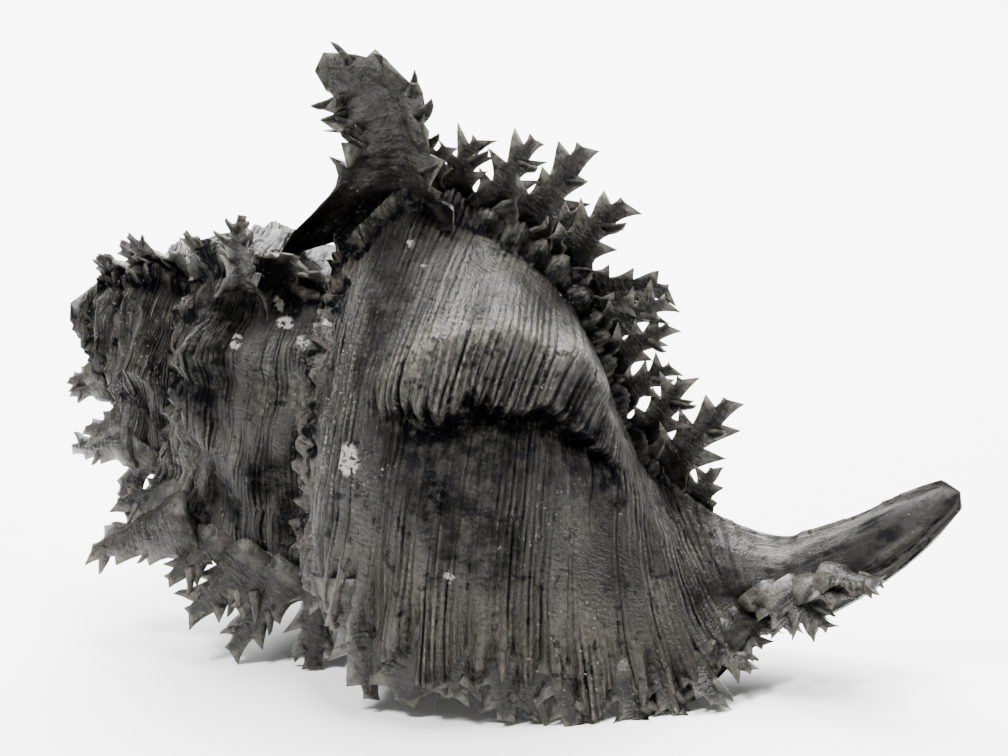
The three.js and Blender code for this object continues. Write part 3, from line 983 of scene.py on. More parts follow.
@dataclass
class Fringe:
    """Plants fronds on the shell body."""

    body: ShellBody
    seed: int = 5

    def __post_init__(self) -> None:
        """Starts the fixed sequence of small irregularities."""
        self.dice = np.random.default_rng(self.seed)

    def ground(self, t: float, q: float) -> tuple[np.ndarray, np.ndarray, np.ndarray]:
        """The foot of a frond and the directions there.

        Args:
            t: growth in turns.
            q: place along the curve.

        Returns:
            The foot, the outward direction, and the direction along the shell.
        """
        coil = self.body.coil
        qs = np.array([q - 0.06, q, q + 0.06])
        spot, normal = coil.curve(t, qs)
        rib = sum(v.height(t, qs) for v in self.body.relief.varices)
        spot = spot + normal * (0.7 * rib)[:, None]
        points = coil.place(spot[:, 0], spot[:, 1], t)
        along = points[2] - points[0]
        along /= np.linalg.norm(along)
        _, up, away = coil.axes()
        angle = coil.lip_angle + TURN * t
        radial = away * cos(angle) + up * sin(angle)
        out = radial - along * float(radial @ along)
        return points[1], out / np.linalg.norm(out), along

    def plant(self, sheet: Sheet, f: Frond) -> None:
        """Grows one frond with its leaflets.

        Args:
            sheet: where the mesh goes.
            f: the frond.
        """
        foot, out, along = self.ground(f.t, f.q)
        _, up, away = self.body.coil.axes()
        angle = self.body.coil.lip_angle + TURN * f.t
        growth = -away * sin(angle) + up * cos(angle)
        jitter = self.dice.uniform(-1.0, 1.0, 4)
        lean = radians(f.lean + 4 * jitter[0])
        nod = radians(f.forward + 4 * jitter[1])
        self.blade(sheet, f, foot, (out, along, growth), lean, nod)

    def blade(
        self,
        sheet: Sheet,
        f: Frond,
        foot: np.ndarray,
        ways: tuple[np.ndarray, np.ndarray, np.ndarray],
        lean: float,
        nod: float,
        small: bool = False,
    ) -> None:
        """Lofts a curled blade from a foot along a bending centre line.

        Args:
            sheet: where the mesh goes.
            f: sizes of the frond.
            foot: where it starts.
            ways: outward, sideways and opening directions.
            lean: first sideways tilt, in radians.
            nod: first tilt towards the opening, in radians.
            small: whether it is a leaflet, which carries no leaflets of its own.
        """
        out, along, growth = ways
        centre = foot - out * f.inset - growth * f.behind
        rings, stations = [], []
        n = f.sides
        wave = self.dice.uniform(0.0, TURN, 3)
        teeth = self.dice.uniform((0.55, -0.5), (1.35, 0.9), (2, f.teeth + 2, 2))
        for k in range(f.steps + 1):
            h = k / f.steps
            way = out * cos(lean) * cos(nod) + along * sin(lean) + growth * sin(nod)
            way /= np.linalg.norm(way)
            step = f.length / f.steps
            centre = centre + way * (-f.sink if k == 0 else step + (f.sink if k == 1 else 0))
            across = np.cross(growth, way)
            across /= np.linalg.norm(across)
            if across @ along < 0:
                across = -across
            front = np.cross(way, across)
            if front @ growth < 0:
                front = -front
            half = f.width_at(h) * (1 + 0.05 * sin(9 * h + wave[0]))
            roll = radians(f.roll) * (1.15 - 0.5 * h)
            s = np.linspace(-1.0, 1.0, n + 1)
            over = half * np.sin(roll * s) / sin(roll)
            bow = half * (1 - np.cos(roll * s)) / sin(roll) - 0.35 * half * sin(roll)
            pleat = 0.05 * half * np.cos(s * pi * 2.5 + wave[1]) * (1 - 0.5 * h)
            ruffle = 0.16 * half * sin(TURN * h * f.teeth * 0.6 + wave[2]) * s * np.abs(s)
            out_by, up_by, fore_by = self._teeth(f, h, s, teeth)
            up_by = up_by + f.slope * over * exp(-h / 0.22)
            middle = (
                centre + np.outer(over + out_by, across) + np.outer(up_by, way)
                + np.outer(bow + pleat + ruffle + fore_by, front)
            )
            wall = f.thick * (1.2 - 0.65 * h) * (1.0 - 0.8 * np.abs(s) ** 3)
            wall = wall + (1.6 * exp(-h * f.length / 4.0)) * (1.0 - np.abs(s) ** 2)
            back = middle - np.outer(wall / 2, front)
            inside = (middle + np.outer(wall / 2, front))[::-1][1:-1]
            both = np.concatenate([s, s[::-1][1:-1]])
            face = np.concatenate([0 * s, 1 - 0.6 * np.abs(s[::-1][1:-1])])
            rings.append(sheet.add(
                np.concatenate([back, inside]),
                worn=0.8 * np.abs(both) ** 4 * smooth((h - 0.1) / 0.3) + 0.12 * h,
                # painted shade on the inside of the curl and at the foot, over a slightly darker
                # base tone
                deep=0.1 + 0.4 * face * (1 - 0.5 * h) + 0.35 * exp(-h * 5),
                crest=0.25,
                grow=f.t + 0.05 * h + 0.01 * f.q, cord=1.3 * both + round(f.q * 9) + 0.5,
            ))
            stations.append((centre.copy(), way, across, front, half, roll))
            lean += radians(f.curl) * 2.0 * h / f.steps
            nod += radians(f.nod) / f.steps
        sheet.grid([list(r) for r in rings], closed=True)
        top = sheet.add(stations[-1][0] + stations[-1][1] * 0.9 * stations[-1][4], worn=0.8)[0]
        sheet.fan([int(k) for k in rings[-1]] + [int(rings[-1][0])], top)
        # Painted shade at the centre of the foot.
        base = sheet.add(stations[0][0], deep=1.0)[0]
        sheet.fan([int(k) for k in rings[0][::-1]] + [int(rings[0][-1])], base)
        if not small and f.leaves:
            self._leaflets(sheet, f, stations)

    @staticmethod
    def _teeth(
        f: Frond, h: float, s: np.ndarray, teeth: np.ndarray
    ) -> tuple[np.ndarray, np.ndarray, np.ndarray]:
        """How far the edges of a blade are drawn out into pointed teeth.

        Args:
            f: the blade.
            h: height on the blade, 0 to 1.
            s: places across it, -1 to 1.
            teeth: random size and bend of each tooth, for both sides.

        Returns:
            Shifts outwards, upwards and forwards.
        """
        pull = np.zeros_like(s)
        bend = np.zeros_like(s)
        for side, start in ((-1.0, 0.0), (1.0, 0.4)):
            u = h * (f.steps / 5.0) + start
            k = int(u) % teeth.shape[1]
            part = u - int(u)
            shape = (part / 0.8) ** 1.5 if part < 0.81 else (1.0 - part) / 0.2
            grown = f.tooth * teeth[0 if side < 0 else 1, k, 0] * shape
            grown *= float(smooth((h - 0.1) / 0.2)) * (1.1 - 0.45 * h)
            here = np.where(s * side > 0, np.abs(s) ** 5, 0.0)
            pull = pull + grown * here * side
            bend = bend + grown * here * teeth[0 if side < 0 else 1, k, 1]
        return pull, 0.75 * np.abs(pull), bend

    def _leaflets(self, sheet: Sheet, f: Frond, stations: list) -> None:
        """Adds pointed, curled leaflets along both edges of a blade.

        Args:
            sheet: where the mesh goes.
            f: the blade.
            stations: the blade's frames from foot to tip.
        """
        for i in range(f.leaves):
            h = 0.3 + 0.68 * (i + 0.5) / f.leaves
            side = -1.0 if i % 2 else 1.0
            spot = stations[min(f.steps, int(round(h * f.steps)))]
            centre, way, across, front, half, roll = spot
            lift = half * (1 - cos(roll * 0.8)) / sin(roll) - 0.35 * half * sin(roll)
            foot = centre + 0.86 * half * side * across + front * lift
            size = f.leaf * (0.7 + 0.6 * self.dice.uniform()) * (1.1 - 0.35 * abs(h - 0.7))
            tilt = radians(30 + 30 * self.dice.uniform())
            out = way * cos(tilt) + across * side * sin(tilt)
            out /= np.linalg.norm(out)
            wing = Frond(
                f.t, f.q, size * 1.15, size * 0.6, curl=-30 * side,
                nod=50 * self.dice.uniform() - 12,
                roll=46, waist=0.95, flare=0.5, base=0.0, thick=0.55, leaves=0, teeth=1,
                tooth=0.0, sides=4, sink=1.4, behind=0.0,
            )
            across2 = across * cos(tilt) - way * side * sin(tilt)
            fore = radians(30 * self.dice.uniform() - 4)
            self.blade(sheet, wing, foot, (out, across2, front), 0.0, fore, True)


class Cut(Enum):
    """How the edges of a frond are cut, and how its foot is set."""

    TOP_SMALL = {"leaves": 0, "teeth": 2, "tooth": 3.6}
    TOP_LARGE = {"leaves": 1, "teeth": 3, "tooth": 5.0}
    LIP = {"leaves": 1, "teeth": 2, "inset": 3.2, "behind": 0.0}
    SHORT = {"leaves": 1, "teeth": 2}
    PLAIN = {"leaves": 1}
    LEAFY = {"leaves": 2}
    LEG = {"leaves": 3, "leaf": 6.0, "sides": 10}
    SPIRE = {"leaves": 1, "leaf": 3.0, "teeth": 2, "tooth": 2.0}


def row(t: float, cut: Cut, *fronds: tuple[float, ...], **more: float) -> tuple[Frond, ...]:
    """Neighbouring fronds on one varix that are cut alike.

    Args:
        t: growth of the varix in turns.
        cut: how their edges are cut.
        fronds: place, length and width of each, then its lean, curl, forward tilt and nod.
        more: sizes that differ from the cut's own.

    Returns:
        The fronds.
    """
    return tuple(Frond(t, *sizes, **(cut.value | more)) for sizes in fronds)


# The big top spine and the rows of fronds, varix by varix.
FRONDS = (
    # The last full varix, along the top.
    Frond(-0.29, 1.25, 46, 19, 64, -106, 0, 8, roll=62, waist=0.86, flare=1.2, base=10,
          point=0.66, thick=1.5, leaves=11, leaf=5, teeth=6, tooth=3.6, sides=16, slope=0.8,
          sink=5),
    *row(-0.312, Cut.TOP_SMALL, (2.05, 12.7, 9, 14, 10, 10)),
    *row(-0.312, Cut.TOP_LARGE, (2.4, 14.8, 10.7, 8, 20), (2.85, 20.1, 10.7, 2, 16),
         (3.25, 24.4, 14.3, -2, -8)),
    *row(-0.312, Cut.TOP_SMALL, (3.52, 11.7, 8.1, 6, 14)),
    *row(-0.312, Cut.TOP_LARGE, (3.78, 21.2, 13.4, 4, 12), (4.2, 19.1, 11.7, -2, 12)),
    *row(-0.312, Cut.TOP_SMALL, (4.42, 11.7, 8.1, 2, 16)),
    *row(-0.312, Cut.TOP_LARGE, (4.64, 18, 9, -6, 6), (5.0, 17, 9, -8, -4),
         (5.4, 13.8, 8.1, -6, -8), (6.05, 18, 10.7, -20, -14), (6.75, 24.4, 13.4, -10, -14)),
    *row(-0.312, Cut.TOP_SMALL, (7.2, 9.5, 8.1, -6, -8)),
    # The outer lip.
    *row(-0.012, Cut.LIP, (1.3, 12, 13, 6, 0, 50), tooth=2, inset=6.5),
    *row(-0.012, Cut.PLAIN, (2.2, 25, 17, 26, 0, 58, 6), inset=6.5, thick=2.2, roll=58,
         waist=0.8),
    *row(-0.012, Cut.LIP, (2.6, 15, 13, 8, 0, 50, 6), inset=6.5, thick=1.6),
    *row(-0.012, Cut.PLAIN, (2.95, 19, 18, 0, 0, 52, 6), inset=6.5, thick=2, waist=0.85,
         flare=0.8),
    *row(-0.012, Cut.LIP, (3.4, 10, 12, 0, 0, 30, 20), (3.85, 13, 14, 4, 0, 26, 20),
         (4.2, 11, 11, -4, 0, 20, 20), (4.55, 12, 13, 6, 0, 12, 24),
         (4.85, 11, 11, -6, 0, 16, 24), (5.25, 13, 14, 2, 0, 10, 24), (5.6, 11, 11, 8, 0, 8, 16),
         (6.0, 12, 13, -4, 0, 4, 12), (6.35, 11, 12, 8, 0, 6, 12), (6.75, 10, 12, 6, 0, 0, 12)),
    *row(-0.014, Cut.LIP, (7.1, 9, 10, 14, 10, 6, 12)),
    # Under the canal.
    *row(-0.03, Cut.SHORT, (7.7, 10, 12, 26, 20, 20)),
    *row(-0.03, Cut.LEAFY, (7.95, 12, 14, 34, 24, 24)),
    *row(-0.03, Cut.SHORT, (8.2, 10, 12, 40, 20, 14)),
    *row(-0.03, Cut.LEAFY, (8.4, 12, 12, 44, 20, 18)),
    # The hidden varix behind, whose long fronds carry the shell.
    *row(-0.622, Cut.LEG, (1.75, 36, 22, -6, 0, -20, -30), thick=2.6),
    *row(-0.622, Cut.LEG, (2.5, 48, 21, 4, 0, -38, -38), thick=3.6),
    *row(-0.622, Cut.LEG, (3.2, 47, 19, 0, 0, -34, -38), leaf=4.3, thick=3.4),
    *row(-0.622, Cut.PLAIN, (3.8, 22, 13, 0, 0, -20, -20), thick=1.8),
    *row(-0.622, Cut.PLAIN, (4.4, 20, 13, 0, 0, -14, -10), thick=1.6),
    *row(-0.622, Cut.PLAIN, (5.0, 17, 12, 6), (5.7, 15, 11, 4), (6.5, 14, 11, -4, -8)),
    # One turn back from the lip.
    *row(-0.942, Cut.SHORT, (1.2, 14, 12, -20, -10, 10)),
    *row(-0.942, Cut.PLAIN, (1.8, 25, 19, -28, -4, 18, 4), leaves=3, leaf=5, sides=12, thick=2.6,
         roll=66, waist=0.7),
    *row(-0.942, Cut.SHORT, (2.35, 14, 11, -18, -10, 4)),
    *row(-0.942, Cut.LEAFY, (2.9, 20, 18, -28, -16, 12), thick=1.6),
    *row(-0.942, Cut.SHORT, (3.25, 13, 12, -10, 0, 14)),
    *row(-0.942, Cut.LEAFY, (3.55, 24, 16, -12, 0, 26), (3.95, 22, 15, 2, 0, 24), thick=1.6),
    # Earlier varices up the spire.
    *row(-1.226, Cut.SPIRE, (1.3, 9, 9, 10, 0, 8)),
    *row(-1.185, Cut.SPIRE, (2.4, 25, 12, -2, 12, -30, 0), leaves=7, teeth=4, leaf=3.6),
    *row(-1.228, Cut.SPIRE, (2.9, 9, 10, 10, 0, 10), (3.5, 8, 9, 4, 0, 14)),
    *row(-1.602, Cut.SPIRE, (1.2, 9, 9, -4, -14)),
    *row(-1.602, Cut.LEAFY, (1.9, 17, 14, -4, -14), leaf=4, tooth=2),
    *row(-1.602, Cut.SPIRE, (3.0, 10, 10)),
    *row(-1.902, Cut.SPIRE, (1.1, 9, 9, -30, -14, 14)),
    *row(-1.902, Cut.LEAFY, (1.8, 20, 11, -30, -10, 26, 14), leaf=4, tooth=2, thick=1.6),
    *row(-1.902, Cut.SPIRE, (2.5, 12, 11, -20, -10, 12), leaf=3.5),
    *row(-1.902, Cut.SPIRE, (3.1, 9, 10, 0, 0, 6)),
    *row(-2.232, Cut.SHORT, (1.2, 7, 8, -14, -10), leaf=2.6, tooth=1.6),
    *row(-2.232, Cut.SPIRE, (1.9, 9, 10, -4, -20), tooth=1.6),
    *row(-2.232, Cut.SHORT, (2.8, 7, 9, 8, -6, 6), leaf=2.6, tooth=1.6),
    *row(-2.582, Cut.SPIRE, (1.9, 9, 9, -10, -20), tooth=1.6),
    *row(-2.902, Cut.SHORT, (1.2, 6, 7, -26, -20, 10), (1.9, 7, 7, -16, -20, 12), leaf=2.5,
         tooth=1.5),
    *row(-3.242, Cut.SHORT, (1.3, 5, 6, -26, -20), (2.1, 6, 7, -14, -20), teeth=1, leaf=2,
         tooth=1.2),
    *row(-3.6, Cut.SHORT, (1.8, 5, 6, -20, -20), teeth=1, leaf=2, tooth=1.2),
)


# ------------------------------------------------------------------ hollows


@dataclass(frozen=True)
class Hollow:
    """A smooth tube to be cut out of the shell, as rings round a path."""

    stations: tuple[tuple[float, float, float, float, float], ...]
    slant: float = 0.0
    sides: int = 56
    steps: int = 44
    lengthwise: bool = False

    def build(self, coil: Coil, name: str) -> bpy.types.Object:
        """Makes the tube.

        Args:
            coil: the coil it follows.
            name: the object's name.

        Returns:
            A closed mesh object.
        """
        sheet = Sheet()
        table = np.array(self.stations, float)
        rings = []
        for k in range(self.steps + 1):
            t, a, r, long, wide = (
                np.interp(k / self.steps * (len(table) - 1), np.arange(len(table)), column)
                for column in table.T
            )
            turn = np.linspace(0.0, TURN, self.sides, endpoint=False)
            side, dr = long * np.cos(turn), wide * np.sin(turn)
            if self.lengthwise:
                points = coil.place(np.full_like(dr, a), r + dr, t + side / (TURN * r))
            else:
                points = coil.place(a + side, r + dr - self.slant * side, t)
            # Painted shade for the walls this tube leaves inside the shell, darker at its ends.
            rings.append(sheet.add(points, deep=0.55, grow=t, cord=turn,
                                   crest=HOLLOW_CORDS))
        sheet.grid(rings, closed=True)
        for ring, flip in ((rings[0], False), (rings[-1], True)):
            middle = np.mean(np.concatenate(sheet.points)[ring], axis=0)
            tip = sheet.add(middle, deep=0.8)[0]
            order = [int(k) for k in ring] + [int(ring[0])]
            sheet.fan(order if flip else order[::-1], tip)
        return sheet.to_object(name)


def aperture_hollow() -> Hollow:
    """The hollow behind the aperture: an oval swept back along the coil."""
    mouth, rows = APERTURE, []
    for t in (0.06, 0.03, 0.01, -0.01, -0.05, -0.1, -0.16, -0.22, -0.28, -0.34, -0.4, -0.45,
              -0.49, -0.515):
        back = min(t, 0.0)
        size = max(0.1, 1 - (back / mouth.throat_turns) ** 2) ** 0.5
        swell = 1.0 + 0.07 * max(0.0, 1 + t / 0.02) * (t > -0.02)
        scale = exp(mouth.size_rate * back) * size * swell
        rows.append((
            t, mouth.axis * exp(mouth.axis_rate * back),
            mouth.radius * exp(mouth.radius_rate * back),
            mouth.half_long * scale, mouth.half_wide * scale,
        ))
    return Hollow(tuple(rows), slant=mouth.slant)


def canal_slit() -> Hollow:
    """The narrow slit from the aperture to the tip of the canal."""
    rows = (
        (0.0, 138, 31, 2.6, 4.0), (0.03, 148, 22, 1.8, 3.4), (0.06, 160, 16, 1.2, 3.4),
        (0.09, 174, 13, 0.9, 3.2), (0.11, 188, 11.2, 0.8, 3.0), (0.12, 202, 9.4, 0.7, 2.6),
        (0.12, 213, 7.2, 0.6, 2.2), (0.12, 223, 4.6, 0.6, 2.0),
    )
    return Hollow(rows, sides=16, steps=48, lengthwise=True)


# ------------------------------------------------------------------ finish


class Maths(Enum):
    """The maths nodes that the finishes use."""

    ADD = "ADD"
    SUBTRACT = "SUBTRACT"
    MULTIPLY = "MULTIPLY"
    MAXIMUM = "MAXIMUM"
    COSINE = "COSINE"


class Graph:
    """Short hand for building one node tree."""

    def __init__(self, material: bpy.types.Material) -> None:
        """Clear the material's tree.

        Args:
            material: the material to fill.
        """
        material.use_nodes = True
        self.tree = material.node_tree
        self.tree.nodes.clear()

    def node(self, kind: str, **settings: object) -> bpy.types.Node:
        """Adds a node.

        Args:
            kind: the node's type name.
            settings: its properties.

        Returns:
            The node.
        """
        node = self.tree.nodes.new(kind)
        for key, value in settings.items():
            setattr(node, key, value)
        return node

    def put(self, value: object, socket: bpy.types.NodeSocket) -> None:
        """Links a socket, or sets a number or colour on it.

        Args:
            value: a socket, a number or a colour.
            socket: the input that takes it.
        """
        if isinstance(value, bpy.types.NodeSocket):
            self.tree.links.new(value, socket)
        else:
            socket.default_value = value

    def note(self, name: str) -> bpy.types.NodeSocket:
        """One of the mesh's surface notes."""
        return self.node("ShaderNodeAttribute", attribute_name=name).outputs["Fac"]

    def maths(self, kind: Maths, a: object, b: object = 0.0, clamp: bool = False) -> object:
        """A maths node.

        Args:
            kind: what it works out.
            a: first value.
            b: second value.
            clamp: whether to hold the result between 0 and 1.

        Returns:
            The result socket.
        """
        node = self.node("ShaderNodeMath", operation=kind.value, use_clamp=clamp)
        self.put(a, node.inputs[0])
        self.put(b, node.inputs[1])
        return node.outputs[0]

    def plus(self, a: object, b: object, clamp: bool = False) -> object:
        """The sum of two values."""
        return self.maths(Maths.ADD, a, b, clamp)

    def times(self, a: object, b: object, clamp: bool = False) -> object:
        """The product of two values."""
        return self.maths(Maths.MULTIPLY, a, b, clamp)

    def noise(self, vector: object, scale: float, detail: float, rough: float = 0.55) -> object:
        """A noise texture's height.

        Args:
            vector: where to sample.
            scale: grains to a unit.
            detail: finer layers.
            rough: strength of the finer layers.

        Returns:
            The height socket.
        """
        node = self.node("ShaderNodeTexNoise")
        self.put(vector, node.inputs["Vector"])
        node.inputs["Scale"].default_value = scale
        node.inputs["Detail"].default_value = detail
        node.inputs["Roughness"].default_value = rough
        return node.outputs["Fac"]

    def ramp(self, value: object, low: float, high: float) -> object:
        """Rescales low..high to 0..1, smoothly.

        Args:
            value: what to rescale.
            low: value that becomes 0.
            high: value that becomes 1.

        Returns:
            The result socket.
        """
        node = self.node("ShaderNodeMapRange", interpolation_type="SMOOTHSTEP")
        self.put(value, node.inputs["Value"])
        node.inputs["From Min"].default_value = low
        node.inputs["From Max"].default_value = high
        return node.outputs["Result"]

    def mix(self, amount: object, a: object, b: object) -> object:
        """Mixes two colours.

        Args:
            amount: share of the second colour.
            a: first colour.
            b: second colour.

        Returns:
            The colour socket.
        """
        node = self.node("ShaderNodeMix", data_type="RGBA")
        self.put(amount, node.inputs[0])
        self.put(a, node.inputs[6])
        self.put(b, node.inputs[7])
        return node.outputs[2]

    def vector(self, x: object, y: object, z: object = 0.0) -> object:
        """A vector from three values.

        Args:
            x: first value.
            y: second value.
            z: third value.

        Returns:
            The vector socket.
        """
        node = self.node("ShaderNodeCombineXYZ")
        for value, socket in zip((x, y, z), node.inputs):
            self.put(value, socket)
        return node.outputs[0]


Colour = tuple[float, float, float, float]


class Weather:
    """The patterns that every part of the finish shares."""

    def __init__(self, g: Graph) -> None:
        """Lays the patterns over growth and cords, and over space.

        Args:
            g: the material's nodes.
        """
        place = g.node("ShaderNodeTexCoord").outputs["Object"]
        self.edge = g.node("ShaderNodeNewGeometry").outputs["Pointiness"]
        self.strength = g.note("crest")
        cord, grow = g.note("cord"), g.note("grow")

        def woven(along: float, across: float, detail: float, rough: float) -> object:
            """Noise stretched over the sheet, so many to a turn and to a cord."""
            return g.noise(g.vector(g.times(grow, along), g.times(cord, across)),
                           1.0, detail, rough)

        self.streaks = woven(46.0, 1.3, 5.0, 0.62)
        self.threads = woven(260.0, 4.0, 3.0, 0.6)
        self.lines = woven(330.0, 0.4, 3.0, 0.6)
        self.bead = woven(420.0, 1.0, 2.0, 0.5)
        self.filled = woven(15.0, 1.0, 4.0, 0.65)
        self.clouds = g.noise(place, 38.0, 5.0, 0.6)
        self.blots = g.noise(place, 290.0, 6.0, 0.68)
        self.grit = g.noise(place, 620.0, 4.0, 0.65)
        self.specks = g.noise(place, 1150.0, 2.0, 0.5)
        waver = g.times(g.maths(Maths.SUBTRACT, self.streaks, 0.5), 2.2)
        self.crest = g.maths(Maths.COSINE, g.plus(g.times(cord, TURN), waver))


@dataclass(frozen=True)
class ShellFinish:
    """Weathered, faintly glossy charcoal shell with worn cords, chalky crusts and shade painted
    into grooves and hollows.
    """

    dark: Colour = (0.0030, 0.0028, 0.0019, 1.0)
    grey: Colour = (0.0100, 0.0091, 0.0061, 1.0)
    rubbed: Colour = (0.160, 0.152, 0.126, 1.0)
    tan: Colour = (0.050, 0.038, 0.026, 1.0)
    # Near black for painted shade in grooves and hollows, and for dark blots.
    shade_stain_black: Colour = (0.0008, 0.0009, 0.0014, 1.0)
    crust: Colour = (0.26, 0.255, 0.235, 1.0)
    gloss: float = 0.31
    bump_depth: float = 0.0011
    bump_strength: float = 0.85

    @staticmethod
    def _rubbing(g: Graph, w: Weather) -> object:
        """How far the crests of the cords, and the worn edges, are rubbed pale.

        Args:
            g: the material's nodes.
            w: the shared patterns.

        Returns:
            A socket from 0 to 1.
        """
        rub = g.times(g.ramp(w.crest, 0.1, 1.0), g.ramp(w.streaks, 0.42, 0.66))
        rub = g.times(rub, g.ramp(w.bead, 0.42, 0.62))
        rub = g.times(rub, g.plus(g.ramp(w.filled, 0.42, 0.6), 0.2), True)
        rub = g.times(rub, w.strength, True)
        return g.plus(rub, g.times(g.note("worn"), g.ramp(w.grit, 0.35, 0.7)), True)

    @staticmethod
    def _shading_and_blots(g: Graph, w: Weather) -> object:
        """Painted shade in the grooves, concave places and hollows, with real dark stains and
        blots.

        Args:
            g: the material's nodes.
            w: the shared patterns.

        Returns:
            A socket from 0 to 1.
        """
        # Painted shade in the grooves between the cords, where the cords are strong.
        groove_shade_blots = g.times(g.ramp(w.crest, 0.0, -0.85), g.ramp(w.filled, 0.44, 0.6))
        groove_shade_blots = g.times(groove_shade_blots, g.ramp(w.strength, 0.1, 0.9))
        # Real dark blots from noise join the groove shade.
        groove_shade_blots = g.plus(groove_shade_blots, g.times(g.ramp(w.blots, 0.45, 0.36), 0.7), True)
        # Painted shade in concave places, read from the pointiness.
        cavity_shade_blots = g.plus(g.times(g.ramp(w.edge, 0.49, 0.40), 0.8), groove_shade_blots, True)
        # The surface note of painted shade and dark stains, broken up by the blots.
        note_shade_stain = g.times(g.note("deep"), g.plus(g.ramp(w.blots, 0.62, 0.42), 0.35))
        return g.maths(Maths.MAXIMUM, note_shade_stain, cavity_shade_blots, True)

    @staticmethod
    def _crusts(g: Graph, w: Weather) -> object:
        """Where chalk or a pale fleck covers the surface.

        Args:
            g: the material's nodes.
            w: the shared patterns.

        Returns:
            A socket from 0 to 1.
        """
        patch = g.times(g.note("chalk"), g.ramp(w.grit, 0.38, 0.5), True)
        fleck = g.times(g.ramp(w.specks, 0.66, 0.70), g.ramp(w.clouds, 0.5, 0.6))
        return g.maths(Maths.MAXIMUM, g.ramp(patch, 0.25, 0.5), g.times(fleck, 0.55), True)

    def _colour(self, g: Graph, w: Weather, shade_blot_mix: object, crust: object) -> object:
        """The surface colour.

        Args:
            g: the material's nodes.
            w: the shared patterns.
            shade_blot_mix: painted shade in the grooves and hollows, with dark blots.
            crust: where the chalk lies.

        Returns:
            The colour socket.
        """
        body = g.mix(g.ramp(w.clouds, 0.3, 0.6), self.dark, self.grey)
        body = g.mix(g.times(g.ramp(w.streaks, 0.35, 0.75), 0.55), body, self.grey)
        body = g.mix(g.times(self._rubbing(g, w), 0.85), body, self.rubbed)
        warm = g.times(g.note("warm"), g.ramp(w.threads, 0.35, 0.68), True)
        body = g.mix(g.times(warm, 0.75), body, self.tan)
        body = g.mix(g.times(g.ramp(w.edge, 0.52, 0.62), 0.45), body, self.rubbed)
        # Painted shade and dark blots pull the colour towards near black.
        return g.mix(crust, g.mix(shade_blot_mix, body, self.shade_stain_black), self.crust)

    def _bump(self, g: Graph, w: Weather, crust: object) -> object:
        """The fine relief, calmer where the cords are weak.

        Args:
            g: the material's nodes.
            w: the shared patterns.
            crust: where the chalk lies.

        Returns:
            The normal socket.
        """
        calm = g.plus(g.times(g.ramp(w.strength, 0.2, 0.7), 0.6), 0.4)
        relief = g.times(g.plus(g.times(w.threads, 0.9), g.times(w.grit, 0.8)), calm)
        relief = g.plus(relief, g.times(g.times(w.crest, w.strength), 0.3))
        for pattern, height in ((w.lines, 0.35), (w.bead, 0.5), (w.specks, 0.25), (crust, 0.8)):
            relief = g.plus(relief, g.times(pattern, height))
        bump = g.node("ShaderNodeBump")
        bump.inputs["Strength"].default_value = self.bump_strength
        bump.inputs["Distance"].default_value = self.bump_depth
        g.put(relief, bump.inputs["Height"])
        return bump.outputs[0]

    def make(self) -> bpy.types.Material:
        """Builds the material.

        Returns:
            The finished material.
        """
        material = bpy.data.materials.new("weathered_shell")
        g = Graph(material)
        w = Weather(g)
        shade_blot_mix, crust = self._shading_and_blots(g, w), self._crusts(g, w)
        rough = g.plus(g.plus(g.times(w.grit, 0.30), g.times(w.clouds, 0.16)), 0.14)
        # Reflections are dimmed where shade is painted and on dark blots.
        unshaded_unstained = g.maths(Maths.SUBTRACT, 1.0, g.times(shade_blot_mix, 0.92))
        shader = g.node("ShaderNodeBsdfPrincipled")
        g.put(self._colour(g, w, shade_blot_mix, crust), shader.inputs["Base Color"])
        g.put(g.plus(rough, g.times(crust, 0.3), True), shader.inputs["Roughness"])
        g.put(self._bump(g, w, crust), shader.inputs["Normal"])
        g.put(g.times(unshaded_unstained, self.gloss), shader.inputs["Specular IOR Level"])
        out = g.node("ShaderNodeOutputMaterial")
        g.put(shader.outputs[0], out.inputs["Surface"])
        return material


# ------------------------------------------------------------------ the whole shell


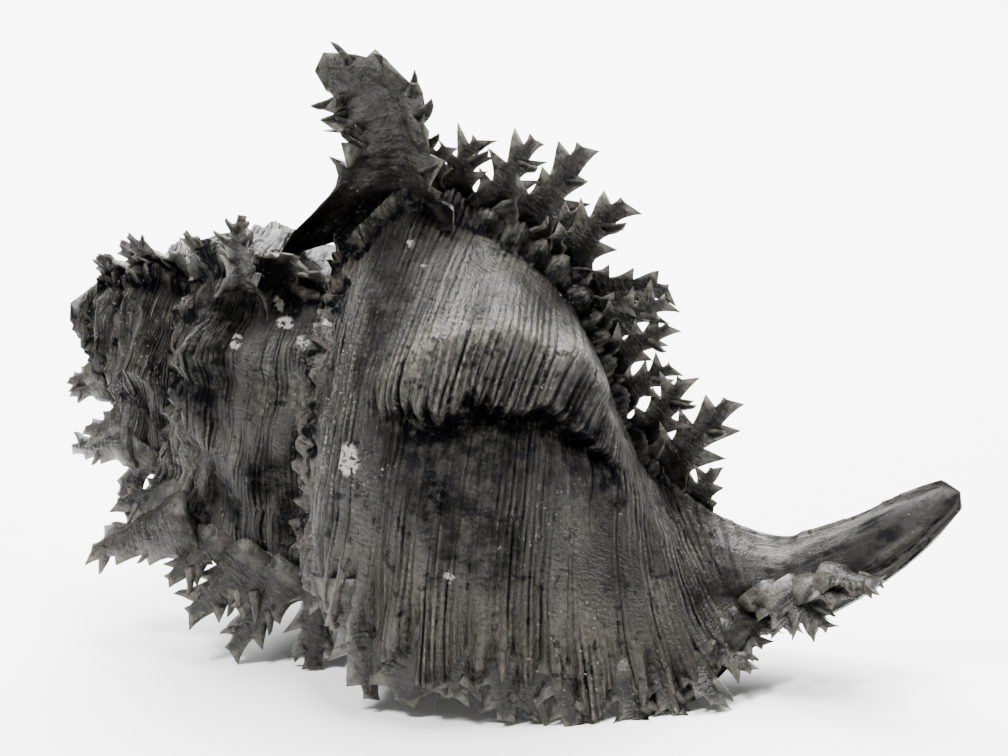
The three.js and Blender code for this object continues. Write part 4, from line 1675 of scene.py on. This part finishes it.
@dataclass
class MurexShell:
    """The shell as one piece.

    The reaches are how far along the curve the ribs of the last and the earlier turns go.
    """

    coil: Coil = field(default_factory=Coil)
    last_reach: float = 7.6
    early_reach: float = 3.9
    top_rib: float = -0.31
    top_sweep: float = 0.04
    rib_spread: float = 0.02

    def varices(self) -> tuple[Varix, ...]:
        """The ribs, each with the places of its fronds."""
        ribs = {
            0.0: 3.0, self.top_rib: 4.2, -0.62: 6.0, -0.94: 6.0, -1.23: 5.4, -1.6: 5.0, -1.9: 4.4,
            -2.23: 3.4, -2.58: 3.0, -2.9: 2.6, -3.24: 2.2, -3.6: 1.6,
        }
        out = []
        for at, rib in ribs.items():
            near = sorted(f.q for f in FRONDS if abs(f.t - at) < self.rib_spread)
            sweep = self.top_sweep if at == self.top_rib else 0.0
            reach = self.last_reach if at > -1 else self.early_reach
            out.append(Varix(at, rib, tuple(near), reach, sweep))
        return tuple(out)

    def build(self) -> bpy.types.Object:
        """Grows, hollows and dresses the shell.

        Returns:
            The finished piece.
        """
        body = ShellBody(self.coil, Relief(self.varices()))
        piece = body.build().to_object("murex_shell")
        LOG.info("body: %d faces", len(piece.data.polygons))
        self._cut(piece, aperture_hollow().build(self.coil, "aperture_hollow"))
        self._cut(piece, canal_slit().build(self.coil, "canal_slit"))
        LOG.info("hollowed: %d faces", len(piece.data.polygons))
        sheet = Sheet()
        fringe = Fringe(body)
        for f in FRONDS:
            fringe.plant(sheet, f)
        self._join(piece, sheet.to_object("fronds"))
        self._stand(piece)
        piece.data.materials.clear()
        piece.data.materials.append(ShellFinish().make())
        return piece

    @staticmethod
    def _cut(piece: bpy.types.Object, tool: bpy.types.Object) -> None:
        """Cuts a tool out of the piece, and removes the tool.

        Args:
            piece: the mesh to cut.
            tool: the closed mesh to take out.
        """
        change = piece.modifiers.new("cut", "BOOLEAN")
        change.operation, change.object, change.solver = "DIFFERENCE", tool, "MANIFOLD"
        graph = bpy.context.evaluated_depsgraph_get()
        mesh = bpy.data.meshes.new_from_object(piece.evaluated_get(graph))
        piece.modifiers.clear()
        piece.data = mesh
        bpy.data.objects.remove(tool)

    @staticmethod
    def _join(piece: bpy.types.Object, other: bpy.types.Object) -> None:
        """Adds another mesh to the piece, and removes the other.

        Args:
            piece: the mesh that grows.
            other: the mesh to add.
        """
        mesh = bmesh.new()
        mesh.from_mesh(other.data)
        bmesh.ops.recalc_face_normals(mesh, faces=mesh.faces)
        mesh.from_mesh(piece.data)
        mesh.to_mesh(piece.data)
        mesh.free()
        bpy.data.objects.remove(other)

    @staticmethod
    def _stand(piece: bpy.types.Object) -> None:
        """Wears the lowest tips flat on the ground."""
        for vertex in piece.data.vertices:
            vertex.co.z = max(vertex.co.z, 0.0)


# ------------------------------------------------------------------ studio


@dataclass(frozen=True)
class Softbox:
    """One large soft light."""

    name: str
    spot: tuple[float, float, float]
    size: float
    watts: float

    def hang(self, target: Vector) -> None:
        """Hangs the light and turns it to the target.

        Args:
            target: the point that it faces.
        """
        data = bpy.data.lights.new(self.name, "AREA")
        data.shape, data.size, data.energy = "DISK", self.size, self.watts
        lamp = bpy.data.objects.new(self.name, data)
        lamp.location = self.spot
        lamp.rotation_euler = (target - lamp.location).to_track_quat("-Z", "Y").to_euler()
        bpy.context.scene.collection.objects.link(lamp)


@dataclass(frozen=True)
class Studio:
    """Pale floor, soft light and the camera."""

    target: tuple[float, float, float] = (0.0003, -0.0149, 0.068)
    distance: float = 0.76
    elevation: float = radians(15.0)
    lens: float = 111.3
    film: float = 36.0
    ambient: float = 0.35
    floor_front: float = -3.0
    floor_back: float = 1.5
    floor_bend: float = 1.2
    floor_top: float = 4.0
    floor_side: float = 5.0
    floor_drop: float = 0.0001

    def floor(self) -> None:
        """A pale floor that sweeps up far behind."""
        mesh = bpy.data.meshes.new("floor")
        back, bend = self.floor_back, self.floor_bend
        profile = [(self.floor_front, 0.0), (back, 0.0)]
        profile += [(back + bend * sin(a), bend - bend * cos(a))
                    for a in np.linspace(0, pi / 2, 24)]
        profile += [(back + bend, self.floor_top)]
        points = [(x, y, z - self.floor_drop)
                  for y, z in profile for x in (-self.floor_side, self.floor_side)]
        faces = [(2 * k, 2 * k + 1, 2 * k + 3, 2 * k + 2) for k in range(len(profile) - 1)]
        mesh.from_pydata(points, [], faces)
        mesh.polygons.foreach_set("use_smooth", np.ones(len(faces), bool))
        floor = bpy.data.objects.new("floor", mesh)
        bpy.context.scene.collection.objects.link(floor)
        material = bpy.data.materials.new("pale_floor")
        g = Graph(material)
        shader = g.node("ShaderNodeBsdfPrincipled")
        shader.inputs["Base Color"].default_value = (0.95, 0.95, 0.95, 1.0)
        shader.inputs["Roughness"].default_value = 0.75
        out = g.node("ShaderNodeOutputMaterial")
        g.put(shader.outputs[0], out.inputs["Surface"])
        mesh.materials.append(material)

    def light(self) -> None:
        """Even white surroundings and three soft lights."""
        world = bpy.data.worlds.new("surroundings")
        world.use_nodes = True
        world.node_tree.nodes["Background"].inputs[0].default_value = (1.0, 1.0, 1.0, 1.0)
        world.node_tree.nodes["Background"].inputs[1].default_value = self.ambient
        bpy.context.scene.world = world
        middle = Vector(self.target)
        for box in (
            Softbox("key", (-0.5, -0.5, 1.0), 0.26, 25.0),
            Softbox("top", (0.05, 0.1, 1.15), 0.7, 42.0),
            Softbox("back", (0.0, 1.3, 1.3), 1.4, 190.0),
        ):
            box.hang(middle)

    def camera(self) -> None:
        """The camera, a little above the shell and square to its side."""
        data = bpy.data.cameras.new("camera")
        data.lens, data.sensor_width = self.lens, self.film
        data.clip_start, data.clip_end = 0.02, 50.0
        eye = bpy.data.objects.new("camera", data)
        middle = Vector(self.target)
        back = Vector((0.0, -cos(self.elevation), sin(self.elevation)))
        eye.location = middle + back * self.distance
        eye.rotation_euler = (middle - eye.location).to_track_quat("-Z", "Y").to_euler()
        bpy.context.scene.collection.objects.link(eye)
        bpy.context.scene.camera = eye


def main() -> None:
    """Builds the shell and the studio."""
    logging.basicConfig(level=logging.INFO, format="%(name)s %(message)s")
    studio = Studio()
    studio.camera()
    studio.floor()
    studio.light()
    shell = MurexShell().build()
    LOG.info("%s: %d triangles", shell.name, sum(len(p.vertices) - 2 for p in shell.data.polygons))
    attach(shell, "root")
    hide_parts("shell")


if __name__ == "__main__":
    main()
